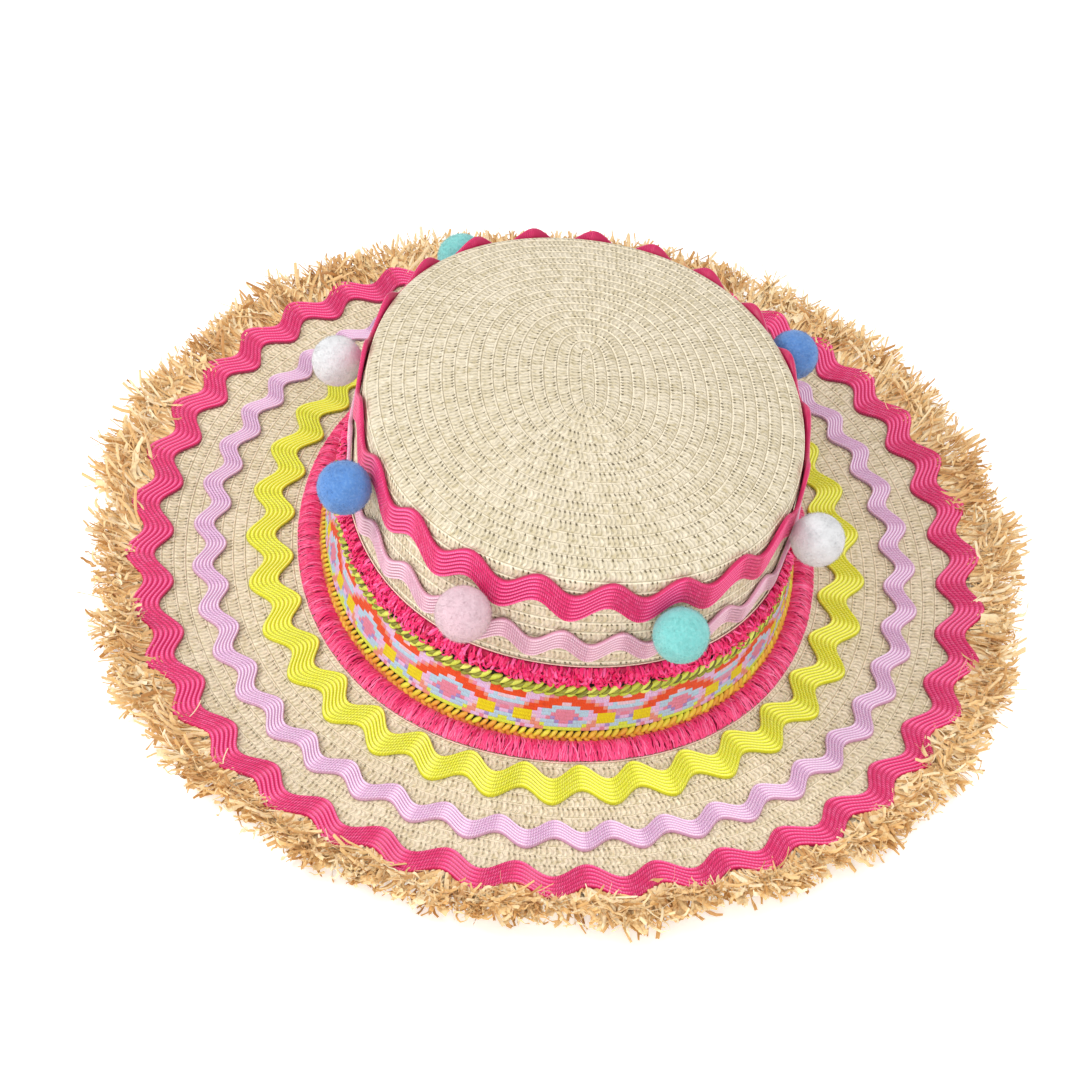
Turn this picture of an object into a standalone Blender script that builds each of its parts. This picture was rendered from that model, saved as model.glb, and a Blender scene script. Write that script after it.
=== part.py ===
"""A straw hat with a flat oval brim, rick-rack trims, a woven band, pompoms and a raffia edge.

Metres, +Z up. The hat stands on the flat ring under its brim at z = 0, with the middle of the
head opening at x = y = 0 and its long way along Y. Every radius is a half width along X, and the
oval stretch makes each half of the hat longer along Y.
"""
import math
import random

import bpy

# Straw: the sewn braid of the crown and brim
HEAD_RADIUS = 0.0838
TOP_RADIUS = 0.0800
OVAL_STRETCH = 0.0216
STRAW_THICKNESS = 0.0016
TOP_ROUNDING = 0.0035
TOP_DOME = 0.0065
CROWN_LEAN = 0.0060
TOP_EDGE_DROP = 0.0037
BRIM_INNER_RISE = 0.0018
BRIM_EDGE_RISE = 0.0036
BRIM_OVERHUNG_BY_TRIM = 0.0008

# Gap between pieces that touch
CLEARANCE = 0.0003

# Rick-rack: flat braid that swings from side to side
BROAD_BRAID_WIDTH = 0.0112
BROAD_BRAID_SWING = 0.0033
NARROW_BRAID_WIDTH = 0.0078
NARROW_BRAID_SWING = 0.0026
BRAID_THICKNESS = 0.0015

# Woven band with its two twisted cords
BAND_WIDTH = 0.0150
BAND_THICKNESS = 0.0016
CORD_WIDTH = 0.0042
CORD_THICKNESS = 0.0032

# Fringes of the band
UPPER_FRINGE_LENGTH = 0.0063
UPPER_FRINGE_THICKNESS = 0.0036
LOWER_FRINGE_LENGTH = 0.0138
FRINGE_ROOT_THICKNESS = 0.0014
FRINGE_PUFF = 0.0028

# Bare straw left between the trims
BARE_WALL_ABOVE_FRINGE = 0.0010
BARE_WALL_BETWEEN_TRIMS = 0.0038
BARE_BRIM_BESIDE_FRINGE = 0.0013
BARE_BRIM_BETWEEN_TRIMS = 0.0069

POMPOM_RADIUS = 0.0098
POMPOM_RISE_ABOVE_TRIM = 0.0048

RAFFIA_LENGTH = 0.0200
RAFFIA_RISE = 0.0080
RAFFIA_THICKNESS = 0.0012
RAFFIA_LOCKS = 84

# How finely the rings are cut
STRAW_STEPS = 48
SECTIONS_PER_WAVE = 4
CUT_SWING = 0.85
UPPER_FRINGE_STEPS = 72
LOWER_FRINGE_STEPS = 80
POMPOM_SAMPLES = 12

# The flat ring that the brim rests on, as shares of the way from the head line to the edge
REST_FROM = 0.50
REST_TO = 0.70

# The top's rings, each with its share of the flat top's radius and of the dome's height
TOP_RINGS = (
    {"radius": 0.0, "height": 1.0},
    {"radius": 0.55, "height": 0.70},
    {"radius": 1.0, "height": 0.0},
)

# Rick-rack on the crown and brim: its waves and the angle of its first outer or upper peak
CROWN_EDGE_BRAID = {"waves": 21, "first_peak": -0.3}
POMPOM_BRAID = {"waves": 26, "first_peak": 1.8}
BRIM_INNER_BRAID = {"waves": 34, "first_peak": 2.9}
BRIM_MIDDLE_BRAID = {"waves": 43, "first_peak": -3.8}
BRIM_OUTER_BRAID = {"waves": 40, "first_peak": -2.1}

# Pompoms, counter-clockwise from the front left: the angle of each in degrees from +X, and how
# far it sits above the row's height, as a share of its radius
POMPOMS = (
    {"colour": "light_pink_wool", "angle": -116.9, "rise": -0.05},
    {"colour": "mint_wool", "angle": -70.2, "rise": 0.0},
    {"colour": "white_wool", "angle": -27.2, "rise": 0.20},
    {"colour": "blue_wool", "angle": 24.5, "rise": 0.35},
    {"colour": "light_pink_wool", "angle": 71.0, "rise": -0.50},
    {"colour": "mint_wool", "angle": 118.7, "rise": 0.20},
    {"colour": "white_wool", "angle": 165.8, "rise": 0.0},
    {"colour": "blue_wool", "angle": -155.8, "rise": 0.60},
)

# Linear colours
COLOURS = {
    "straw": (0.76, 0.66, 0.49),
    "hot_pink_braid": (0.78, 0.06, 0.20),
    "light_pink_braid": (0.74, 0.45, 0.50),
    "yellow_braid": (0.83, 0.83, 0.10),
    "lilac_braid": (0.68, 0.40, 0.60),
    "woven_band": (0.72, 0.35, 0.45),
    "lime_cord": (0.45, 0.52, 0.03),
    "gold_cord": (0.50, 0.22, 0.02),
    "hot_pink_fringe": (0.75, 0.02, 0.14),
    "raffia": (0.65, 0.36, 0.13),
    "light_pink_wool": (0.87, 0.58, 0.63),
    "mint_wool": (0.25, 0.72, 0.66),
    "white_wool": (0.85, 0.86, 0.86),
    "blue_wool": (0.13, 0.31, 0.68),
}
ROUGHNESS = 0.8


def braid_span(width, swing):
    """Full width that a rick-rack trim covers, from its lowest to its highest edge."""
    return width + 2 * swing


BROAD_SPAN = braid_span(BROAD_BRAID_WIDTH, BROAD_BRAID_SWING)
NARROW_SPAN = braid_span(NARROW_BRAID_WIDTH, NARROW_BRAID_SWING)

# Heights up the crown's wall, from the brim to the top edge
HEAD_LINE = STRAW_THICKNESS + BRIM_INNER_RISE
CROWN_FOOT = HEAD_LINE + CLEARANCE
LOWER_CORD_FOOT = HEAD_LINE + FRINGE_ROOT_THICKNESS + 2 * CLEARANCE
BAND_FOOT = LOWER_CORD_FOOT + CORD_WIDTH + CLEARANCE
UPPER_CORD_FOOT = BAND_FOOT + BAND_WIDTH + CLEARANCE
UPPER_FRINGE_FOOT = UPPER_CORD_FOOT + CORD_WIDTH + CLEARANCE
POMPOM_TRIM_FOOT = UPPER_FRINGE_FOOT + UPPER_FRINGE_LENGTH + BARE_WALL_ABOVE_FRINGE
POMPOM_TRIM_TOP = POMPOM_TRIM_FOOT + NARROW_SPAN
EDGE_TRIM_FOOT = POMPOM_TRIM_TOP + BARE_WALL_BETWEEN_TRIMS
CROWN_TOP = EDGE_TRIM_FOOT + BROAD_SPAN
WALL_TOP = CROWN_TOP - TOP_ROUNDING
FLAT_TOP_RADIUS = TOP_RADIUS - TOP_ROUNDING

# Radii across the brim, from the head line to the edge
LOWER_FRINGE_INNER = HEAD_RADIUS + 2 * CLEARANCE
LOWER_FRINGE_OUTER = LOWER_FRINGE_INNER + LOWER_FRINGE_LENGTH
INNER_TRIM_RADIUS = LOWER_FRINGE_OUTER + BARE_BRIM_BESIDE_FRINGE + BROAD_SPAN / 2
MIDDLE_TRIM_RADIUS = INNER_TRIM_RADIUS + BROAD_SPAN / 2 + BARE_BRIM_BETWEEN_TRIMS + NARROW_SPAN / 2
OUTER_TRIM_RADIUS = MIDDLE_TRIM_RADIUS + NARROW_SPAN / 2 + BARE_BRIM_BETWEEN_TRIMS + BROAD_SPAN / 2
BRIM_RADIUS = OUTER_TRIM_RADIUS + BROAD_SPAN / 2 - BRIM_OVERHUNG_BY_TRIM
BRIM_WIDTH = BRIM_RADIUS - HEAD_RADIUS
REST_INNER = HEAD_RADIUS + REST_FROM * BRIM_WIDTH
REST_OUTER = HEAD_RADIUS + REST_TO * BRIM_WIDTH


def oval(angle, radius, stretch):
    """Point of an oval that is a circle with its two halves pulled apart along Y."""
    side = math.sin(angle)
    return radius * math.cos(angle), radius * side + stretch * (3 * side - side**3) / 2


def brim_top(radius):
    """Height of the brim's upper face: a flat ring with a gentle rise on each side of it."""
    if radius < REST_INNER:
        return STRAW_THICKNESS + BRIM_INNER_RISE * (REST_INNER - radius) / (REST_INNER - HEAD_RADIUS)
    if radius > REST_OUTER:
        return STRAW_THICKNESS + BRIM_EDGE_RISE * (radius - REST_OUTER) / (BRIM_RADIUS - REST_OUTER)
    return STRAW_THICKNESS


def wall_radius(height):
    """Radius of the crown's outer face, which narrows evenly up to the rounded edge."""
    share = min(max((height - CROWN_FOOT) / (WALL_TOP - CROWN_FOOT), 0), 1)
    return HEAD_RADIUS + share * (TOP_RADIUS - HEAD_RADIUS)


def on_brim(angle, radius, height):
    """World point of the brim at an angle, radius and height."""
    x, y = oval(angle, radius, OVAL_STRETCH)
    return x, y, height


def on_crown(angle, radius, height):
    """World point of the crown, which leans to +X and whose top edge drops on that side."""
    stretch = OVAL_STRETCH * min(1, radius / FLAT_TOP_RADIUS)
    x, y = oval(angle, radius, stretch)
    share = min(max((height - CROWN_FOOT) / (CROWN_TOP - CROWN_FOOT), 0), 1)
    drop = share * TOP_EDGE_DROP * x / TOP_RADIUS
    return x + share * CROWN_LEAN, y, height - drop


def material(name):
    """Matt material of one of the named colours."""
    found = bpy.data.materials.get(name)
    if found:
        return found
    made = bpy.data.materials.new(name)
    made.use_nodes = True
    shader = made.node_tree.nodes["Principled BSDF"]
    shader.inputs["Base Color"].default_value = (*COLOURS[name], 1)
    shader.inputs["Roughness"].default_value = ROUGHNESS
    shader.inputs["Metallic"].default_value = 0
    made.diffuse_color = (*COLOURS[name], 1)
    return made


def add_piece(name, mesh, colour):
    """Put a finished mesh into the hat's collection under its name."""
    mesh.name = name
    mesh.shade_smooth()
    mesh.set_sharp_from_angle(angle=math.radians(35))
    mesh.materials.clear()
    mesh.materials.append(material(colour))
    piece = bpy.data.objects.new(name, mesh)
    HAT.objects.link(piece)
    return piece


def turned(name, profile, steps, colour, place, closed=True):
    """Turn a profile of (radius, height) points about Z, then bend it to the hat.

    The profile runs down its outer side. place(angle, radius, height, step) gives the world
    point of each turned point.
    """
    outline = bpy.data.meshes.new(name + "_profile")
    count = len(profile)
    edges = [(index, index + 1) for index in range(count - 1)]
    if closed:
        edges.append((count - 1, 0))
    outline.from_pydata([(radius, 0, height) for radius, height in profile], edges, [])
    holder = bpy.data.objects.new(name + "_profile", outline)
    bpy.context.scene.collection.objects.link(holder)
    screw = holder.modifiers.new("turn", "SCREW")
    screw.angle = math.tau
    screw.steps = steps
    screw.render_steps = steps
    screw.use_merge_vertices = True
    screw.merge_threshold = 0.00001
    graph = bpy.context.evaluated_depsgraph_get()
    mesh = bpy.data.meshes.new_from_object(holder.evaluated_get(graph))
    bpy.data.objects.remove(holder)
    bpy.data.meshes.remove(outline)
    for vertex in mesh.vertices:
        x, y, height = vertex.co
        angle = math.atan2(y, x)
        step = round(angle / math.tau * steps) % steps
        vertex.co = place(angle, math.hypot(x, y), height, step)
    return add_piece(name, mesh, colour)


def make_crown():
    """Hollow crown: a leaning wall, a rounded edge and a low dome."""
    half_round = TOP_ROUNDING * (1 - math.cos(math.pi / 4))
    outside = [
        (ring["radius"] * FLAT_TOP_RADIUS, CROWN_TOP + ring["height"] * TOP_DOME) for ring in TOP_RINGS
    ]
    outside.append((TOP_RADIUS - half_round, CROWN_TOP - half_round))
    outside.append((TOP_RADIUS, WALL_TOP))
    outside.append((HEAD_RADIUS, CROWN_FOOT))
    inside = [
        (HEAD_RADIUS - STRAW_THICKNESS, CROWN_FOOT),
        (TOP_RADIUS - STRAW_THICKNESS, WALL_TOP),
    ]
    for ring in reversed(TOP_RINGS):
        height = CROWN_TOP + ring["height"] * TOP_DOME - STRAW_THICKNESS
        inside.append((ring["radius"] * FLAT_TOP_RADIUS, height))

    def place(angle, radius, height, step):
        return on_crown(angle, radius, height)

    turned("crown", outside + inside, STRAW_STEPS, "straw", place, closed=False)


def make_brim():
    """Brim with the head opening, resting on its flat ring."""
    inner = HEAD_RADIUS - STRAW_THICKNESS
    radii = [BRIM_RADIUS, REST_OUTER, REST_INNER, inner]
    underside = [(radius, brim_top(radius) - STRAW_THICKNESS) for radius in radii]
    top = [(radius, brim_top(radius)) for radius in reversed(radii)]

    def place(angle, radius, height, step):
        return on_brim(angle, radius, height)

    turned("brim", underside + top, STRAW_STEPS, "straw", place)


def swing_at(angle, swing, braid):
    """How far a rick-rack trim has swung at an angle.

    It is cut halfway between each peak and the crossings beside it, where it has reached
    CUT_SWING of its full swing, and it runs level between the two cuts of a peak.
    """
    wave = math.cos(braid["waves"] * (angle - math.radians(braid["first_peak"])))
    reached = CUT_SWING * wave / math.cos(math.pi / 4)
    return swing * min(max(reached, -CUT_SWING), CUT_SWING)


def braid_angle(angle, braid):
    """Angle of a cut of a trim, turned so that no cut falls on a peak."""
    return angle + math.radians(braid["first_peak"]) + math.pi / 4 / braid["waves"]


def make_wall_trim(name, foot, width, swing, braid, colour):
    """Rick-rack round the crown's wall, above its lowest edge."""
    middle = foot + braid_span(width, swing) / 2
    outer = CLEARANCE + BRAID_THICKNESS
    profile = [
        (HEAD_RADIUS + outer, middle + width / 2),
        (HEAD_RADIUS + outer, middle - width / 2),
        (HEAD_RADIUS + CLEARANCE, middle - width / 2),
        (HEAD_RADIUS + CLEARANCE, middle + width / 2),
    ]

    def place(angle, radius, height, step):
        turned_angle = braid_angle(angle, braid)
        swung = height + swing_at(turned_angle, swing, braid)
        return on_crown(turned_angle, wall_radius(swung) + radius - HEAD_RADIUS, swung)

    turned(name, profile, SECTIONS_PER_WAVE * braid["waves"], colour, place)


def make_brim_trim(name, middle, width, swing, braid, colour):
    """Rick-rack round the brim, on either side of its middle radius."""
    profile = [
        (middle + width / 2, CLEARANCE + BRAID_THICKNESS),
        (middle + width / 2, CLEARANCE),
        (middle - width / 2, CLEARANCE),
        (middle - width / 2, CLEARANCE + BRAID_THICKNESS),
    ]

    def place(angle, radius, height, step):
        turned_angle = braid_angle(angle, braid)
        swung = radius + swing_at(turned_angle, swing, braid)
        return on_brim(turned_angle, swung, brim_top(swung) + height)

    turned(name, profile, SECTIONS_PER_WAVE * braid["waves"], colour, place)


def make_wall_ring(name, profile, steps, colour):
    """Even ring round the crown's wall, from (distance off the wall, height) points."""

    def place(angle, radius, height, step):
        return on_crown(angle, wall_radius(height) + radius - HEAD_RADIUS, height)

    turned(name, [(HEAD_RADIUS + out, height) for out, height in profile], steps, colour, place)


def make_band():
    """Woven ribbon of the band."""
    outer = CLEARANCE + BAND_THICKNESS
    profile = [
        (outer, BAND_FOOT + BAND_WIDTH),
        (outer, BAND_FOOT),
        (CLEARANCE, BAND_FOOT),
        (CLEARANCE, BAND_FOOT + BAND_WIDTH),
    ]
    make_wall_ring("band", profile, STRAW_STEPS, "woven_band")


def make_cord(name, foot, colour):
    """Twisted cord along one edge of the band, flat against the wall and round outside."""
    shoulder = CLEARANCE + 0.6 * CORD_THICKNESS
    profile = [
        (shoulder, foot + CORD_WIDTH),
        (CLEARANCE + CORD_THICKNESS, foot + CORD_WIDTH / 2),
        (shoulder, foot),
        (CLEARANCE, foot + 0.2 * CORD_WIDTH),
        (CLEARANCE, foot + 0.8 * CORD_WIDTH),
    ]
    make_wall_ring(name, profile, STRAW_STEPS, colour)


def make_upper_fringe():
    """Short loops that stand above the band, with an uneven upper edge."""
    outer = CLEARANCE + UPPER_FRINGE_THICKNESS
    tip = UPPER_FRINGE_FOOT + UPPER_FRINGE_LENGTH
    profile = [
        (HEAD_RADIUS + 0.7 * outer, tip),
        (HEAD_RADIUS + outer, UPPER_FRINGE_FOOT),
        (HEAD_RADIUS + CLEARANCE, UPPER_FRINGE_FOOT),
        (HEAD_RADIUS + CLEARANCE, tip),
    ]
    loops = random.Random(3)
    shortening = [loops.uniform(0, 0.25) for _ in range(UPPER_FRINGE_STEPS)]

    def place(angle, radius, height, step):
        share = (height - UPPER_FRINGE_FOOT) / UPPER_FRINGE_LENGTH
        uneven = height - share * shortening[step] * UPPER_FRINGE_LENGTH
        return on_crown(angle, wall_radius(uneven) + radius - HEAD_RADIUS, uneven)

    turned("band_upper_fringe", profile, UPPER_FRINGE_STEPS, "hot_pink_fringe", place)


def make_lower_fringe():
    """Puffy fringe that comes out from under the lower cord and lies on the brim."""
    root = CLEARANCE + FRINGE_ROOT_THICKNESS
    under_cord = HEAD_RADIUS + CLEARANCE + 0.8 * CORD_THICKNESS
    profile = [
        (under_cord, root),
        (under_cord + 0.4 * (LOWER_FRINGE_OUTER - under_cord), CLEARANCE + FRINGE_PUFF),
        (LOWER_FRINGE_OUTER, CLEARANCE + 0.4 * FRINGE_PUFF),
        (LOWER_FRINGE_OUTER, CLEARANCE),
        (LOWER_FRINGE_INNER, CLEARANCE),
        (LOWER_FRINGE_INNER, root),
    ]
    threads = random.Random(5)
    shortening = [threads.uniform(0, 0.09) for _ in range(LOWER_FRINGE_STEPS)]

    def place(angle, radius, height, step):
        share = max(radius - under_cord, 0) / LOWER_FRINGE_LENGTH
        uneven = radius - share * shortening[step] * LOWER_FRINGE_LENGTH
        return on_brim(angle, uneven, brim_top(uneven) + height)

    turned("band_lower_fringe", profile, LOWER_FRINGE_STEPS, "hot_pink_fringe", place)


def make_raffia():
    """Frayed raffia: locks of uneven length fused to a root that meets the brim's edge."""
    root = BRIM_RADIUS + CLEARANCE
    root_top = brim_top(BRIM_RADIUS) - CLEARANCE
    root_foot = brim_top(BRIM_RADIUS) - STRAW_THICKNESS
    tip_middle = (root_top + root_foot) / 2
    profile = [
        (root, root_top),
        (root + RAFFIA_LENGTH, tip_middle + RAFFIA_THICKNESS / 2),
        (root + RAFFIA_LENGTH, tip_middle - RAFFIA_THICKNESS / 2),
        (root, root_foot),
    ]
    steps = 2 * RAFFIA_LOCKS
    locks = random.Random(11)
    lengths = []
    rises = []
    turns = []
    for step in range(steps):
        is_tip = step % 2 == 0
        lengths.append(locks.uniform(0.80, 1.25) if is_tip else locks.uniform(0.50, 0.70))
        rises.append(locks.uniform(0.10, 1.20) if is_tip else locks.uniform(0.10, 0.60))
        turns.append(locks.uniform(-0.3, 0.3) * math.tau / steps)

    def place(angle, radius, height, step):
        share = (radius - root) / RAFFIA_LENGTH
        reach = root + share * lengths[step] * RAFFIA_LENGTH
        return on_brim(angle + share * turns[step], reach, height + share * rises[step] * RAFFIA_RISE)

    turned("raffia_fringe", profile, steps, "raffia", place)


def pompom_off_wall(angle, height):
    """How far a pompom's middle stands off the wall where it just clears the wall and trims."""
    off_wall = CLEARANCE + POMPOM_RADIUS
    face = CLEARANCE + BRAID_THICKNESS + CLEARANCE
    for sample in range(-POMPOM_SAMPLES, POMPOM_SAMPLES + 1):
        sideways = POMPOM_RADIUS * sample / POMPOM_SAMPLES
        here = angle + sideways / wall_radius(height)
        narrow_top = POMPOM_TRIM_TOP + swing_at(here, NARROW_BRAID_SWING, POMPOM_BRAID) - NARROW_BRAID_SWING
        broad_foot = EDGE_TRIM_FOOT + swing_at(here, BROAD_BRAID_SWING, CROWN_EDGE_BRAID) + BROAD_BRAID_SWING
        for past_edge in (height - narrow_top, broad_foot - height):
            reach = POMPOM_RADIUS**2 - sideways**2 - max(past_edge, 0) ** 2
            if reach > 0:
                off_wall = max(off_wall, face + math.sqrt(reach))
    return off_wall


def make_pompoms():
    """Eight wool balls that hang on the narrow trim and lean on the wall and the trims."""
    for index, row in enumerate(POMPOMS):
        height = POMPOM_TRIM_TOP + POMPOM_RISE_ABOVE_TRIM + row["rise"] * POMPOM_RADIUS
        bpy.ops.mesh.primitive_ico_sphere_add(subdivisions=2, radius=POMPOM_RADIUS)
        ball = bpy.context.active_object
        mesh = ball.data
        bpy.data.objects.remove(ball)
        piece = add_piece(f"pompom_{index + 1}", mesh, row["colour"])
        angle = math.radians(row["angle"])
        off_wall = pompom_off_wall(angle, height)
        piece.location = on_crown(angle, wall_radius(height) + off_wall, height)
        piece.rotation_euler = (0, 0, angle)


for leftover in list(bpy.data.objects):
    bpy.data.objects.remove(leftover)
HAT = bpy.data.collections.new("straw_hat_with_pompoms")
bpy.context.scene.collection.children.link(HAT)

make_crown()
make_brim()
make_wall_trim("crown_edge_trim", EDGE_TRIM_FOOT, BROAD_BRAID_WIDTH, BROAD_BRAID_SWING,
               CROWN_EDGE_BRAID, "hot_pink_braid")
make_wall_trim("crown_pompom_trim", POMPOM_TRIM_FOOT, NARROW_BRAID_WIDTH, NARROW_BRAID_SWING,
               POMPOM_BRAID, "light_pink_braid")
make_brim_trim("brim_inner_trim", INNER_TRIM_RADIUS, BROAD_BRAID_WIDTH, BROAD_BRAID_SWING,
               BRIM_INNER_BRAID, "yellow_braid")
make_brim_trim("brim_middle_trim", MIDDLE_TRIM_RADIUS, NARROW_BRAID_WIDTH, NARROW_BRAID_SWING,
               BRIM_MIDDLE_BRAID, "lilac_braid")
make_brim_trim("brim_outer_trim", OUTER_TRIM_RADIUS, BROAD_BRAID_WIDTH, BROAD_BRAID_SWING,
               BRIM_OUTER_BRAID, "hot_pink_braid")
make_band()
make_cord("band_upper_cord", UPPER_CORD_FOOT, "lime_cord")
make_cord("band_lower_cord", LOWER_CORD_FOOT, "gold_cord")
make_upper_fringe()
make_lower_fringe()
make_raffia()
make_pompoms()
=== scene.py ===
"""Looks of the straw hat with pompoms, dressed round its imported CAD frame.

Metres, +Z up. Angles are measured from +X, counter-clockwise from above. Every radius is a half
width along X, and the oval stretch makes each half of the hat longer along Y.
"""
import math

import bmesh
import bpy
import numpy as np
from mathutils import Matrix, Vector


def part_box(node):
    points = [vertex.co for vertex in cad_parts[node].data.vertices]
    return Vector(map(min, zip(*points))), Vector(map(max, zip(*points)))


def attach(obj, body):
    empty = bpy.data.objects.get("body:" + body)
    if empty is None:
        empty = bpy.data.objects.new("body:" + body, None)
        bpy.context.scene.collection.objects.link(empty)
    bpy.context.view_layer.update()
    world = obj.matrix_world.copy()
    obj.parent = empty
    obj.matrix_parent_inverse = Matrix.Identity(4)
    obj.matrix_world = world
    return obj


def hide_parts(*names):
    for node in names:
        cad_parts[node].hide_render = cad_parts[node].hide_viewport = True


# Straw, as in the frame's model
HEAD_RADIUS = 0.0838
TOP_RADIUS = 0.0800
OVAL_STRETCH = 0.0216
STRAW_THICKNESS = 0.0016
TOP_ROUNDING = 0.0035
TOP_DOME = 0.0065
CROWN_LEAN = 0.0060
TOP_EDGE_DROP = 0.0037
BRIM_INNER_RISE = 0.0018
BRIM_EDGE_RISE = 0.0036
BRIM_OVERHUNG_BY_TRIM = 0.0008
REST_FROM = 0.50
REST_TO = 0.70
CLEARANCE = 0.0003

# Trims, band and fringes, as in the frame's model
BROAD_BRAID = {"width": 0.0112, "swing": 0.0033}
NARROW_BRAID = {"width": 0.0078, "swing": 0.0026}
BRAID_THICKNESS = 0.0015
BAND_WIDTH = 0.0150
BAND_THICKNESS = 0.0016
CORD_WIDTH = 0.0042
CORD_THICKNESS = 0.0032
UPPER_FRINGE_LENGTH = 0.0063
UPPER_FRINGE_THICKNESS = 0.0036
LOWER_FRINGE_LENGTH = 0.0138
FRINGE_ROOT_THICKNESS = 0.0014
FRINGE_PUFF = 0.0028
BARE_WALL_ABOVE_FRINGE = 0.0010
BARE_WALL_BETWEEN_TRIMS = 0.0038
BARE_BRIM_BESIDE_FRINGE = 0.0013
BARE_BRIM_BETWEEN_TRIMS = 0.0069
POMPOM_RADIUS = 0.0098
RAFFIA_LENGTH = 0.0200
RAFFIA_RISE = 0.0080

# Sewn straw: its rows, and the relief across a row from its inner to its outer edge
TOP_ROWS = 17.5
WALL_ROW_PITCH = 0.0043
BRIM_ROWS = 18
BACK_ROWS = 33
STITCH_PITCH = 0.00175
CENTRE_STRETCH = 0.0145
ROW_RELIEF = (
    {"share": 0.00, "lift": -0.00030},
    {"share": 0.05, "lift": 0.00010},
    {"share": 0.11, "lift": 0.00022},
    {"share": 0.20, "lift": 0.00000},
    {"share": 0.55, "lift": 0.00008},
    {"share": 0.92, "lift": 0.00002},
)
PLAIN_RELIEF = (
    {"share": 0.00, "lift": 0.00000},
    {"share": 0.15, "lift": 0.00005},
    {"share": 0.60, "lift": 0.00005},
)
SMALLEST_RADIUS = 0.00002
CROWN_STEPS = 200
BRIM_STEPS = 260

# Rick-rack trims, with the angle in degrees of each one's first outer or upper peak
TRIMS = (
    {"name": "crown_edge_trim", "braid": BROAD_BRAID, "waves": 21, "first_peak": -0.3,
     "ribs": 7, "material": "hot_pink_braid", "back_rise": 0.0016},
    {"name": "crown_pompom_trim", "braid": NARROW_BRAID, "waves": 26, "first_peak": 1.8,
     "ribs": 6, "material": "light_pink_braid", "back_rise": 0.0},
    {"name": "brim_inner_trim", "braid": BROAD_BRAID, "waves": 34, "first_peak": 2.9,
     "ribs": 7, "material": "yellow_braid", "back_rise": 0.0},
    {"name": "brim_middle_trim", "braid": NARROW_BRAID, "waves": 43, "first_peak": -3.8,
     "ribs": 6, "material": "lilac_braid", "back_rise": 0.0},
    {"name": "brim_outer_trim", "braid": BROAD_BRAID, "waves": 40, "first_peak": -2.1,
     "ribs": 6, "material": "hot_pink_braid", "back_rise": 0.0},
)
STEPS_PER_WAVE = 14
RIB_DEPTH = 0.00050
CROSS_RIB_PITCH = 0.0009
WALL_TRIM_GAP = 0.0008

# Band: a chart of half a repeat, from the middle of a diamond outwards, top row first.
# The start is the angle in degrees of a repeat's first column.
BAND_REPEATS = 15
BAND_START = -91.0
BAND_CHART = (
    "OOSPpLLLpOOOp",
    "OOOOSPLLLOOOO",
    "pOOOOOSPLLBpp",
    "BBBOOOOOSBBBB",
    "PPBBBLOOOSPMM",
    "PPPBBLLYYYYMP",
    "PPVPLLpYYYYVL",
    "PVBBBpSYYYYBB",
    "LBBBGSSpLVBBG",
    "GGGGSSLLPpGGG",
)
BAND_COLOURS = {
    "O": (1.00, 0.32, 0.07),
    "S": (1.00, 0.64, 0.55),
    "P": (0.98, 0.58, 0.69),
    "p": (1.00, 0.85, 0.91),
    "L": (0.98, 0.81, 0.98),
    # V is a painted violet shade where the band lies in shade, not a colour of the ribbon
    "V": (0.72, 0.61, 0.88),
    "B": (0.78, 0.91, 1.00),
    "Y": (1.00, 0.91, 0.00),
    "G": (0.93, 1.00, 0.32),
    "M": (0.93, 0.67, 0.79),
}
PAD_DEPTH = 0.00030
THREADS_PER_SQUARE = 3.0

# Cords: rows of slanted stitches. Middle is a share of the cord's width, shift a share of the way
# from one stitch to the next, and lean is in radians.
UPPER_CORD_PADS = 166
UPPER_CORD_ROWS = (
    {"middle": 0.62, "lean": 0.90, "shift": 0.0, "length": 0.0056, "width": 0.0019, "tones": (0.5, 1.0)},
    {"middle": 0.44, "lean": 0.95, "shift": 0.4, "length": 0.0042, "width": 0.0016, "tones": (0.0, 0.35)},
    {"middle": 0.12, "lean": 1.25, "shift": 0.2, "length": 0.0036, "width": 0.0015, "tones": (0.2, 0.9)},
)
LOWER_CORD_PADS = 236
LOWER_CORD_ROWS = (
    {"middle": 0.80, "lean": 0.85, "shift": 0.0, "length": 0.0038, "width": 0.0016, "tones": (0.5, 1.0)},
    {"middle": 0.36, "lean": -0.90, "shift": 0.5, "length": 0.0038, "width": 0.0018, "tones": (0.2, 0.7)},
    {"middle": 0.02, "lean": 1.20, "shift": 0.2, "length": 0.0034, "width": 0.0015, "tones": (0.0, 0.3)},
)

# Counts of threads and strands
UPPER_CURLS = 3600
LOWER_THREADS = 3800
LOWER_FOLDS = 104
RAFFIA_TUFTS = 96
FIBRES_PER_POMPOM = 3400

# Half widths of curls, threads and strays, their crinkles, and the pompoms' fuzz and felt. The
# last three are shares of a pompom's radius.
CURL_WIDTH = (0.00032, 0.00054)
THREAD_WIDTH = (0.00017, 0.00029)
STRAY_WIDTH = 0.00020
THREAD_CRINKLE = 0.00022
RAFFIA_CRUMPLE = 0.0007
FUZZ_LENGTH = (0.0004, 0.0011)
FUZZ_RADIUS = 0.00006
FUZZ_ROOT = 0.96
FELT_SIZE = 0.965
FELT_LUMPS = 0.025

# Plain rings of the cords and fringes, their grounds and gap rings coloured as painted shade: how far each
# stands out from the wall, the width of a fringe's edge thread, and the rings' steps round the hat
CORD_GROUND_OUT = 0.0014
CORD_GAP_SHADE_OUT = 0.0012
FRINGE_GROUND_OUT = 0.0009
FRINGE_EDGE_OUT = 0.0007
FRINGE_EDGE_WIDTH = 0.0004
RING_STEPS = 128

# How much longer the raffia is at the sides and shorter at the front, as shares of its length
SIDE_RAFFIA = 0.14
FRONT_RAFFIA = 0.12

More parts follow.
